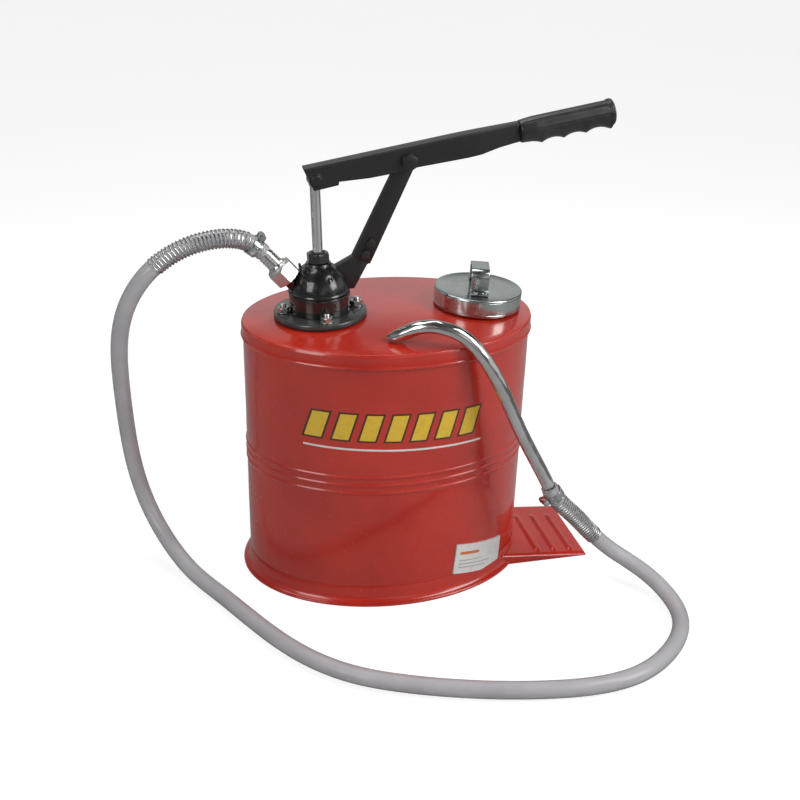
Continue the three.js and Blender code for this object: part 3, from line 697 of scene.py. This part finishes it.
def spring(line, wire, coil, pitch):
    """A wire wound round a path."""
    turns = int(length_of(line) / pitch)
    steps_per_turn = 22
    fine = evenly(line, turns * steps_per_turn)
    first, second = directions(fine)
    angle = np.linspace(0, turns * tau, len(fine))
    wound = fine + coil * (first * np.cos(angle)[:, None] + second * np.sin(angle)[:, None])
    return tube(wound, wire, 8)


def make_hose():
    line = smooth_curve(HOSE_ROUTE, 720)
    angle = around(40)
    bore = HOSE_BORE * (1 + 0.006 * np.sin(3 * angle) + 0.004 * np.sin(7 * angle + 1))
    walls = np.concatenate([rings_along(line, angle, HOSE_R),
                            rings_along(line, angle, bore)[::-1]])
    hose = rebuild("hose", [loft(walls, wrap=True)], "clear_hose")
    step = len(line) // 72
    for node, part in (("outlet_spring", line[step:6 * step + 1]),
                       ("spout_spring", line[67 * step:71 * step + 1])):
        rebuild(node, [spring(part, 0.8, HOSE_R + 0.55, 4.1)], "steel")
    make_clamp("outlet_clamp", line[0], line[step])
    make_clamp("spout_clamp", line[-1], line[-1 - step])

    spout = smoothed_node("spout_tube", "chrome", 0.5)


# ------------------------------------------------------------------------------ tank
def on_oval(radius, angle):
    """Points and outward normals of the tank's oval: even offsets near the rim, shrinking
    ovals further in."""
    c, s = np.cos(angle), np.sin(angle)
    stretch = np.hypot(c / TANK_A, s / TANK_B)
    normal = np.stack([c / TANK_A / stretch, s / TANK_B / stretch], -1)
    inner = 0.8 * TANK_A
    offset = max(radius, inner) - TANK_A
    points = np.stack([TANK_A * c, TANK_B * s], -1) + offset * normal
    return min(radius / inner, 1) * points, normal


def dent(x, y, z, depth=0.32):
    """How far the thin sheet waves in and out at a place."""
    place = Vector((x, y, z))
    return depth * (noise.noise(place / 47) + 0.6 * noise.noise(place / 21 + Vector((9, 3, 5))))


def oval(profile, sides=176, dented=False):
    """A turned profile pressed to the oval, and waved like thin sheet."""
    on_axis = profile[0][0] == 0
    rings = []
    for radius, z in profile:
        points, normal = on_oval(radius, around(sides))
        if dented and radius > 0:
            wave = np.array([dent(x, y, z) for x, y in points])
            points = points + wave[:, None] * normal
        rings.append(np.column_stack([points, np.full(sides, z)]))
    return loft(rings, wrap=not on_axis)


def bead(z):
    """How far the pressed rings stand out at a height."""
    return sum(1.3 * cos(pi * (z - at) / 6.4) ** 2 for at in BEADS if abs(z - at) < 3.2)


def make_tank():
    heights = sorted({*np.arange(2, 322.1, 6.4), *np.arange(152, 181.5, 0.8)})
    outside = [(TANK_A + bead(z), z) for z in heights]
    inside = [(radius - WALL, z) for radius, z in reversed(outside)]
    rebuild("tank_body", [oval(outside + inside, dented=True)], "red_enamel")

    inner = TANK_A + 0.35
    outer = inner + WALL
    foot = TANK_A + FOOT_FLARE
    flare = [(foot - 0.6 - 6.4 * sin(t), 4.2 + 13 * (1 - cos(t)))
             for t in np.linspace(0, pi / 2, 7)]
    rebuild("tank_base", [oval([
        (0, 0), (90, 0), (foot - 1.2, 0), (foot - 0.2, 0.35), (foot, 1.2), (foot, 2.4),
        (foot - 0.5, 3.2), (foot - 1.1, 3.5), *flare, (inner + 0.5, 22.5), (inner + 0.1, 24),
        (inner, 24),
        (inner, 16), (foot - 4, 1.6), (90, WALL), (0, WALL),
    ])], "red_enamel")

    def dome(radius, depth=0):
        return (radius, LID_TOP - depth - radius * radius / 2 / LID_RADIUS)

    top = [dome(r) for r in (0, *range(20, 164, 11))]
    shoulder = rounded([dome(161), dome(outer - 1.2), (outer, 330), (outer, 318.8)], 1.4, 4,
                       closed=False)[1:]
    skirt = [(outer + 0.35, 318), (outer + 0.95, 317.2), (outer + 0.95, 316.2),
             (outer + 0.3, 315.4), (outer, 314.6), (inner, 314.6)]
    under = [(inner, 321.5), (171.6, 330.6), dome(160, WALL)]
    lining = [dome(r, WALL) for r in (130, 90, 45, 0)]
    lid = oval([*top, *[tuple(p) for p in shoulder], *skirt, *under, *lining])
    holes = [moved(rod(radius, -20, 20), at) for radius, at in ((25, PUMP), (44, FILLER))]
    rebuild("tank_lid", [cut(lid, *holes)], "red_enamel")

    def back_wall(x, z, height):
        return wall_point(x, z, height, middle_at=pi / 2)

    seam = sheet(rectangle(-4, 4, 26, 312), 3, 60, -0.3, 0.9, back_wall)
    extra("tank_seam", [seam], "red_enamel", "root")


def wall_point(across, z, proud, middle_at=-pi / 2):
    """A point on the tank's wall, a distance round it from the middle of the front or back."""
    c = across / TANK_A
    angle = middle_at + (1 if middle_at < 0 else -1) * np.arcsin(c)
    points, normal = on_oval(TANK_A, np.array([angle]))
    x, y = points[0]
    out = dent(x, y, z) + bead(z) + proud
    return x + out * normal[0][0], y + out * normal[0][1], z


def grid_slab(low, high, columns, rows):
    """A thin solid between two grids of points, each given row by row."""
    wide, layer, last = columns + 1, len(low), rows * (columns + 1)
    faces = []
    for j in range(rows):
        for i in range(columns):
            k = j * wide + i
            quad = (k, k + 1, k + 1 + wide, k + wide)
            faces += [quad[::-1], tuple(q + layer for q in quad)]
    edge = [*range(columns), *range(columns, last + columns, wide),
            *range(last + columns, last, -1), *range(last, 0, -wide)]
    faces += [(k, n, n + layer, k + layer) for k, n in zip(edge, edge[1:] + edge[:1])]
    return np.array([*low, *high]), faces


def sheet(corners, columns, rows, low, high, place):
    """A thin slab over a patch between four corners, laid on a surface by place(s, t, height)."""
    a, b, c, d = [np.array(corner, float) for corner in corners]

    def layer(height):
        points = []
        for v in np.arange(rows + 1) / rows:
            for u in np.arange(columns + 1) / columns:
                s, t = (1 - v) * ((1 - u) * a + u * b) + v * ((1 - u) * d + u * c)
                points.append(place(s, t, height))
        return points

    return grid_slab(layer(low), layer(high), columns, rows)


def make_graphics():
    """Plain printed bars on the front, where such a tank carries its trim, and a blank label."""
    tilt = radians(-1.9)
    left, base = -122, 226

    def trim(s, t, height):
        x = left + s * cos(tilt) - t * sin(tilt)
        return wall_point(x, base + s * sin(tilt) + t * cos(tilt), height)

    def film(name, shapes, finish):
        extra(name, shapes, finish, "root", slot="red_enamel")

    count, width, gap, lean, tall, border = 7, 22.2, 7.6, 9, 37, 2.2
    dark, yellow = [], []
    for k in range(count):
        start = k * (width + gap)
        outline = [(start, 0), (start + width, 0), (start + width + lean, tall),
                   (start + lean, tall)]
        dark.append(sheet(outline, 6, 8, 0, 0.12, trim))
        slope = lean / tall
        inset = [(start + border + slope * border, border),
                 (start + width - border + slope * border, border),
                 (start + width - border + slope * (tall - border), tall - border),
                 (start + border + slope * (tall - border), tall - border)]
        yellow.append(sheet(inset, 6, 8, 0.1, 0.22, trim))
    film("trim_borders", dark, DARK_FILM)
    film("trim_bars", yellow, YELLOW)
    line = rectangle(2, 212, -11, -8.6)
    film("trim_line", [sheet(line, 60, 1, 0, 0.14, trim)], WHITE_FILM)

    def label(s, t, height):
        return wall_point(61 + s + 0.1 * t, 26.5 - 0.24 * s + t, height + 1.1)

    corners = [(0, 0), (69, 0), (67, 41), (0, 41)]
    film("blank_label", [sheet(corners, 12, 8, -1.4, 0.9, label)], WHITE_FILM)
    margin, thick, low, high = 6, 1.2, 0.85, 0.98
    rules = [rectangle(margin, margin + run, y, y + thick)
             for y, run in ((8, 40), (13, 46), (18, 34))]
    film("label_rules", [sheet(rule, 8, 1, low, high, label) for rule in rules], GREY_FILM)
    block = rectangle(margin, 34, 27, 31)
    film("label_block", [sheet(block, 6, 1, low, high, label)], ORANGE_FILM)


def make_foot_plate():
    end, front, back, ribs = 259, -76, 48, (240, 217, 194)
    sheet_top, inner = 3.4, 3.0

    def top(x):
        return sheet_top + (end - x) * 0.094

    def rise(x, y):
        """The half-round ribs, faded out at both ends."""
        total = 0
        for at in ribs:
            ends = min(y - (front + 8), (back - 26) - y)
            height = max(0, 1 - ((x - at) / 4.2) ** 2)
            total += 2.7 * height * min(max(ends / 5, 0), 1) ** 0.5
        return total

    columns, rows = 110, 44
    low, high = [], []
    edge_fold = 2.2
    for j in range(rows + 1):
        y = front + (back - front) * j / rows
        start = TANK_A * sqrt(1 - (y / TANK_B) ** 2) + inner
        for i in range(columns + 1):
            x = start + (end - start) * i / columns
            near = min(end - x, y - front, back - y)
            fold = edge_fold - sqrt(max(edge_fold ** 2 - max(edge_fold - near, 0) ** 2, 0))
            z = top(x) + rise(x, y) - fold
            high.append((x, y, z))
            low.append((x, y, 0))
    hollow = slab((160, end - 2), (front + 2, back - 2), (-5, 1.2))
    rebuild("foot_plate", [cut(grid_slab(low, high, columns, rows), hollow)], "red_enamel")


# ---------------------------------------------------------------------------- filler
def make_filler():
    neck = turned([(44, 0.3), (50, 0.3), (50, 2.2), (48, 3), (48, 16.6), (47.4, 18), (44, 18)],
                  96, 0.3)
    threads = [ring(47.4, 49.1, z, z + 1.6, 0.6, 96) for z in (5.5, 9, 12.5)]
    rebuild("filler_neck", [neck, *threads], "zinc_plate", FILLER)
    rebuild("cap_gasket", [ring(42, 49, 18.3, 20.5, 0.8, 96)], "rubber", FILLER)

    top, side = 22.9, 53.3
    shell = turned([
        (0, top - 2), (side - 2.2, top - 2), (side - 1.8, 1.3), (side - 0.4, 1.3),
        (side, 1.9), (side, 4.2), (side - 0.35, 4.6), (side - 0.35, 5), (side, 5.4),
        (side, 19.6), (side - 0.3, 19.9), (side - 0.3, 20.2), (side, 20.5), (side - 0.1, 21.6),
        (side - 0.9, 22.6), (side - 2, top), (side - 3.4, top), (side - 3.8, top - 0.12),
        (30, top), (0, top),
    ], 144)
    rebuild("filler_cap", [shell], "zinc_plate", FILLER)

    span, rise, bend, thick, half, foot = 23, 27, 12, 2, 10.75, 14
    base = top + 0.3
    high = base + rise

    def arch(out, low, toe, crown):
        """A hoop standing on two feet, with toe and crown as the radii of its bends."""
        outline = [(-span - foot, low), (-out, low), (-out, high + low - base - thick)]
        outline += [(-x, z) for x, z in reversed(outline)]
        return rounded(outline, (0, toe, crown, crown, toe, 0), (1, 3, 9, 9, 3, 1), False)

    outer = arch(span, base + thick, 1.2, bend)
    inside = arch(span - thick, base, 1.8, bend - thick)[::-1]
    strip = plate([tuple(p) for p in [*outer, *inside]], -half, half)
    rebuild("cap_strap", [strip], "zinc_plate", STRAP, bevel=0.45)
    spots = [moved(turned([(0, 0), (2.6, 0), (2.6, 0.35), (1.9, 0.75), (0, 0.45)], 32),
                   Matrix.Translation((x, y, base + thick)))
             for x in (-span - 8, span + 8) for y in (-5, 5)]
    extra("strap_spot_welds", spots, "zinc_plate", "cap", STRAP)


# ------------------------------------------------------------------------------ pump
def make_flange():
    places = [(44, 0), (0, 44), (-44, 0), (0, -44)]
    rebuild("flange_gasket", [ring(25, 55.2, 0.3, 1.8, 0.3, 120)], "rubber", PUMP)
    disc = turned([(22.4, 2.1), (55.2, 2.1), (55.2, 4.9), (54.6, 5.8), (53.6, 6.1), (22.4, 6.1)],
                  144)
    rebuild("pump_flange", [disc], "dark_plate", PUMP)
    for k, (x, y) in enumerate(places):
        at = PUMP @ Matrix.Translation((x, y, 0)) @ Matrix.Rotation(0.5 + 1.1 * k, 4, "Z")
        bolt = [hexagon(13, -8.4, -3.4), threaded(4, -4.2, 16.4),
                turned([(0, 16), (3.4, 16), (2.9, 17), (0, 17)], 36)]
        rebuild(f"flange_bolt_{k + 1}", bolt, "steel", at)
        nut = [ring(4.3, 8, 6.4, 7.9, 0.3), hexagon(12.9, 7.8, 13, 4.3)]
        rebuild(f"flange_nut_{k + 1}", nut, "steel", at)


def make_head():
    top, bottom = 29, 6.4
    base = turned([
        (22.3, bottom), (36.2, bottom), (36, 16), (36.2, 24.5), (36.4, 26.5), (36, 28.2),
        (35.2, top), (20, top), (20, 20.3), (22.3, 20.3),
    ], 120, 0.5)
    rebuild("head_base", [base], "black_casting", PUMP)

    start, crown, neck_top = top + 0.3, 62, 64.7
    dome = [(34.5 * cos(radians(a)), start + 36 * sin(radians(a))) for a in range(4, crown, 6)]
    bell = turned([(0, start), (35.4, start), (35.4, start + 1.6), *dome, (16.2, 61.1),
                   (0, 61.1)], 96)
    neck = turned([(0, 50), (16, 50), (15.2, 62.6), (14.5, neck_top), (0, neck_top)], 72)
    boss = moved(turned([(0, -26), (13.5, -26), (12.6, -13), (12.6, -10.3), (0, -10.3)], 64),
                 UNION)
    ribs = [moved(plate([(12, 60), (17.5, 61), (29, 50), (33.5, 38), (28, 36)], -1.6, 1.6),
                  spun(angle)) for angle in (-128, -72, 90)]
    horn = tube(evenly(np.array([(-23, -6, 67), (-22.4, -6, 62), (-20.5, -6, 58.6),
                                 (-17, -6, 57), (-14, -6, 59)], float), 12), 1.8, 12)
    body = cast([bell, neck, boss, *ribs, horn], 0.75, 5)
    seat = moved(rod(11, -10.3, 12, 64), UNION)
    tools = [seat, rod(20, 25, 34, 64), rod(9.5, 38, 80)]
    rebuild("head_dome", [cut(body, *tools)], "black_casting", PUMP)

    lug = [(-68, 392), (-66, 397), (-45, 408.3), (-27.2, 400.4), (-43.3, 369.6), (-68, 369.6)]
    tongue = [(-40, 404), (-26, 397), (-17.5, 429), (-28, 434)]
    extra("arm_lug", [plate(lug, -6, 6, 1.5), plate(tongue, -2.7, 2.7, 1)], "black_enamel",
          "root", bevel=0.7)

    rod_hole = 6.3
    sleeve = cut(threaded(9.2, 44.3, 65.5, 1.5, 48), rod(rod_hole, 39.3, 70.5))
    rebuild("gland_nut", [hexagon(24, 65, 76, rod_hole), sleeve], "black_casting", PUMP)
    extra("gland_lip", [ring(6.2, 8.6, 75.6, 77, 0.5)], "rubber", "root", PUMP)
    rebuild("gland_packing", [ring(6.2, 9.2, 38.3 + k * 1.9, 40.1 + k * 1.9, 0.5)
                              for k in range(3)], "rubber", PUMP)


def ball(height, radius):
    """A ball about a height on the pump's axis."""
    angles = np.linspace(-pi / 2, pi / 2, 33)
    profile = [(radius * cos(a), height + radius * sin(a)) for a in angles]
    profile[0], profile[-1] = (0, height - radius), (0, height + radius)
    return turned(profile, 64)


def make_barrel():
    bottom = -310
    rebuild("barrel_tube", [ring(20, 22, bottom, 20, 0.3, 96)], "steel", PUMP)
    seat = bottom - 0.3
    valve = turned([(5.5, seat - 15.7), (22, seat - 15.7), (22, seat), (19.6, seat),
                    (19.6, seat + 12), (9, seat + 12), (9, -314), (5.5, -318)], 96, 0.4)
    stop = along_x(rod(1.2, -9.4, 9.4, 24), -300)
    rebuild("foot_valve_body", [valve, stop], "brass", PUMP)
    rebuild("foot_valve_ball", [ball(-312.4, 7.5)], "steel", PUMP)
    top, low = seat - 16, seat - 24
    can = turned([(0, low), (20, low), (20, top), (18.5, top), (18.5, low + 1.5),
                  (0, low + 1.5)], 96)
    slots = [moved(along_x(rod(1.2, -25, 25, 16), top - 3.2), spun(angle))
             for angle in range(0, 180, 22)]
    rebuild("suction_strainer", [cut(can, *slots)], "steel", PUMP)


def make_piston():
    bottom = -216
    top = bottom + 16
    profile = [(5, bottom), (19.5, bottom), (19.5, bottom + 4), (18.7, bottom + 4.3),
               (18.7, bottom + 5.7), (19.5, bottom + 6), (19.5, top), (8, top), (8, top - 8.5),
               (5, top - 12)]
    rebuild("piston", [turned(profile, 96, 0.2)], "brass", PUMP)
    rebuild("piston_ball", [ball(top - 7.35, 6.5)], "steel", PUMP)
    cup = top + 0.3
    rebuild("piston_cup", [turned([
        (10.3, cup), (19.6, cup), (19.6, cup + 9), (18, cup + 9), (18, cup + 2),
        (10.3, cup + 2)], 96, 0.5)], "rubber", PUMP)
    carrier = turned([
        (8.3, cup), (10, cup), (10, cup + 2.3), (16, cup + 2.3), (16, cup + 5.5),
        (11.5, cup + 5.5), (11.5, cup + 19), (6.2, cup + 19), (6.2, cup + 13), (8.3, cup + 13),
    ], 72, 0.3)
    ports = [moved(rod(2.6, -20, 20, 32), Matrix.Translation((0, 0, cup + 9.5)) @ spun(90, axis))
             for axis in "XY"]
    rebuild("piston_nut", [cut(carrier, *ports)], "steel", PUMP)

    height, half = 162.6, 7.8            # of the eye that the lever's pin runs in
    rod_top = height - half - 0.3
    bar = turned([(0, cup + 13.2), (5.2, cup + 13.2), (5.9, cup + 14), (5.9, rod_top),
                  (0, rod_top)], 64)
    rebuild("piston_rod", [bar], "chrome", PUMP)

    def link(left, right, size):
        turn = np.linspace(-pi / 2, pi / 2, 13)
        ends = [(right - size + size * cos(a), height + size * sin(a)) for a in turn]
        return ends + [(left + size - size * cos(a), height - size * sin(a)) for a in turn]

    opening = plate(link(-5.9, 15.3, 5), -20, 20)
    eye = cut(plate(link(-8.7, 18.1, half), -6.2, 6.2), opening)
    collar = turned([(0, rod_top - 0.2), (5.9, rod_top - 0.2), (7, rod_top + 2),
                     (7, rod_top + 3), (0, rod_top + 3)], 48)
    rebuild("rod_eye", [eye, cut(collar, opening)], "steel", PUMP, bevel=0.5)


# --------------------------------------------------------------------- arm and lever
def make_arm():
    left, right, width, half = np.array((-45, 408)), np.array((-24.7, 399.2)), 9.5, 6.5
    pivot = np.array(PIVOT, float)
    aim = pivot - (left + right) / 2
    tilt = np.arctan2(aim[1], aim[0])
    cap = [pivot + width * np.array((cos(a), sin(a)))
           for a in np.linspace(tilt - pi / 2, tilt + pi / 2, 17)]
    blade = plate([left, right, *cap], -half, half)
    bushes = [along_y(turned([(0, half - 0.2), (8.4, half - 0.2), (8.1, half + 0.3),
                              (0, half + 0.3)], 48), PIVOT, back) for back in (False, True)]
    rebuild("fulcrum_arm", [blade, *bushes], "black_enamel", bevel=1.1)
    for k, at in enumerate(((-31.2, 410.6), (-24.7, 424.1))):
        bolt_pair(f"arm_bolt_{k + 1}", f"arm_nut_{k + 1}", at, half, 3, 10)
    bolt_pair("pivot_bolt", "pivot_nut", PIVOT, 9, 5, 17)


def bolt_pair(bolt, nut, at, half, radius, flats):
    """A hexagon bolt from the front and its nut on the back, painted over with the arm."""
    face = half + 0.3
    tall = 1.3 * radius
    head = along_y(hexagon(flats, face, face + tall), at)
    washer = along_y(ring(radius, 0.56 * flats, face - 0.3, face + 0.5), at)
    shank = along_y(threaded(radius, -face - tall - 1.5, face + 0.5, 1.25), at)
    back = along_y(hexagon(flats, face, face + tall, radius + 0.3), at, back=True)
    for node, shapes in ((bolt, [head, washer, shank]), (nut, [back])):
        rebuild(node, shapes, "black_enamel")


def make_lever():
    """A pressed channel, rounded along its top, that narrows into the grip's tang."""
    end, top = 134.5, 17.3
    low_u = [-119, -112.5, -89.5, -86.4, -52, -23, 3, 68, 84, 107, 134.5]
    low_v = [-9.8, -9.8, -9.3, -5.6, -9, -9.6, -8.6, -10.5, -10.2, -7, -5.4]
    wall, corner = 2, 3.2
    stations = sorted({*np.linspace(-119, end, 74), -89.5, -86.4})

    def left_edge(v):
        return float(np.interp(v, (-9.8, -2.5, top), (-112.5, -115.9, -119)))

    def hoop(half, low, high):
        return [(-half, low), (-half, high), (half, high), (half, low)]

    rings = []
    for u in stations:
        t = (u + 119) / (end + 119)
        half = 9 - 2.3 * min(max((u - 82) / 42, 0), 1)
        low, high = np.interp(u, low_u, low_v), top - max(u - 60, 0) / (end - 60)
        section = [*rounded(hoop(half, low, high), corner, 5, False),
                   *rounded(hoop(wall - half, low, high - wall), corner - wall, 3, False)]
        rings.append([(left_edge(v) + t * (end - left_edge(v)), y, v) for y, v in section])
    channel = loft(rings)
    stopper = plate([(120, -5.6), (end, -5), (end, 15), (120, 15)], -5.8, 5.8)
    tang = slab((118, 232), (-6.5, 6.5), (0.9, 7.9))
    eyes = []
    for u, v, size in ((0, 0, 9), (-108, 1, 8)):
        for back in (False, True):
            eyes.append(along_y(turned([(0, 8.6), (size, 8.6), (size, 9), (size - 0.5, 9.35),
                                        (0, 9.35)], 56), (u, v), back))
    rebuild("lever", [channel, stopper, tang, *eyes], "black_enamel", LEVER, bevel=0.35)

    pin, face = (-108, 1), 9.3
    head = along_y(turned([(0, face), (6.5, face), (6.5, face + 1.4), (5.4, face + 2.4),
                           (0, face + 2.5)], 56), pin)
    shank = along_y(turned([(0, -13), (3.4, -13), (4, -12.4), (4, face + 1), (0, face + 1)], 48),
                    pin)
    rebuild("rod_pin", [head, shank], "black_enamel", LEVER)
    rebuild("rod_pin_clip", [along_y(ring(4.2, 7, face, face + 1.5, 0.4), pin, back=True)],
            "steel", LEVER)


def make_grip():
    """Moulded rubber with finger grooves below, fine flutes along it and a rolled end."""
    start, end, axis, body, pitch, depth = 135, 250, 4.4, 14.3, 27.4, 3.5
    angle = around(120)
    up = np.sin(angle)
    grooves = [end - 7.5 - k * pitch for k in (0.5, 1.5, 2.5, 3.5)]
    sweep = (pitch * pitch) / 8 / depth + depth / 2
    rings = []
    for x in [*np.linspace(start, start + 3, 5), *np.linspace(start + 4, end - 7, 110),
              *np.linspace(end - 6.6, end - 0.2, 12)]:
        round_r = body - 1.3 * max(0, 1 - (x - start) / 18) - 1.2 * max(0, 1 - (x - start) / 1.2)
        lip = min(max((x - (end - 6.2)) / 1.8, 0), 1)
        lip = 1.3 * sin(lip * pi / 2) - 1.1 * max(0, (x - (end - 1.4)) / 1.2) ** 2
        near = min(abs(x - at) for at in grooves)
        fill = sweep - sqrt(max(sweep ** 2 - min(near, pitch / 2) ** 2, 0))
        fill = min(max(fill, 0), depth) if start + 8 < x < end - 4 else 0
        keel = fill * np.clip(-up, 0, 1) ** 1.5
        flute = 0.16 * np.cos(24 * angle) * (1 if start + 5 < x < end - 8 else 0)
        flute = flute * np.clip(up + 0.55, 0, 1)
        radius = round_r + lip + keel + flute
        rings.append(np.stack([np.full(120, x), radius * np.cos(angle), axis + radius * up], 1))
    face = [np.stack([np.full(120, x), r * np.cos(angle), axis + r * up], 1)
            for x, r in ((end, 13), (end, 11.2), (end - 0.5, 11), (end - 2, 11))]
    rebuild("grip", [loft([*rings, *face])], "grip_rubber", LEVER)
    plug = turned([(0, end - 1.7), (10.7, end - 1.7), (10.7, end - 0.3), (10.1, end + 0.3),
                   (8, end + 0.6), (0, end + 0.6)], 72)
    rebuild("grip_end_plug", [along_x(plug, axis)], "grip_rubber", LEVER)


# ---------------------------------------------------------------------------- outlet
def make_outlet():
    bore = rod(4, -40, 60, 32)
    stub = cut(hexagon(17, -10, 0), bore)
    spigot = cut(threaded(6.2, -17, -9.5, 1.3, 48), bore)
    rebuild("outlet_adapter", [stub, spigot], "black_casting", OUTLET)
    nut = hexagon(29, 0.3, 20, 9.2)
    lip = turned([(9.2, 19.5), (13.4, 19.5), (12.6, 21.2), (11.4, 22), (9.2, 22)], 96, 0.3)
    rebuild("swivel_nut", [nut, lip], "nickel", OUTLET)
    barbs = []
    for z in (26.4, 30.4, 34.4, 38.4):
        barbs += [(9.6, z), (8.7, z + 3.2)]
    tail = turned([(5, 0.3), (8.8, 0.3), (8.8, 20.3), (10.6, 20.5), (10.6, 23.2), (9.6, 24.4),
                   (8.6, 25.2), *barbs, (8.4, 44.1), (5, 44.1)], 96, 0.25)
    rebuild("hose_tail", [tail], "chrome", OUTLET)


make_camera()
make_studio()
make_hose()
make_tank()
make_graphics()
make_foot_plate()
make_filler()
make_flange()
make_head()
make_barrel()
make_piston()
make_arm()
make_lever()
make_grip()
make_outlet()
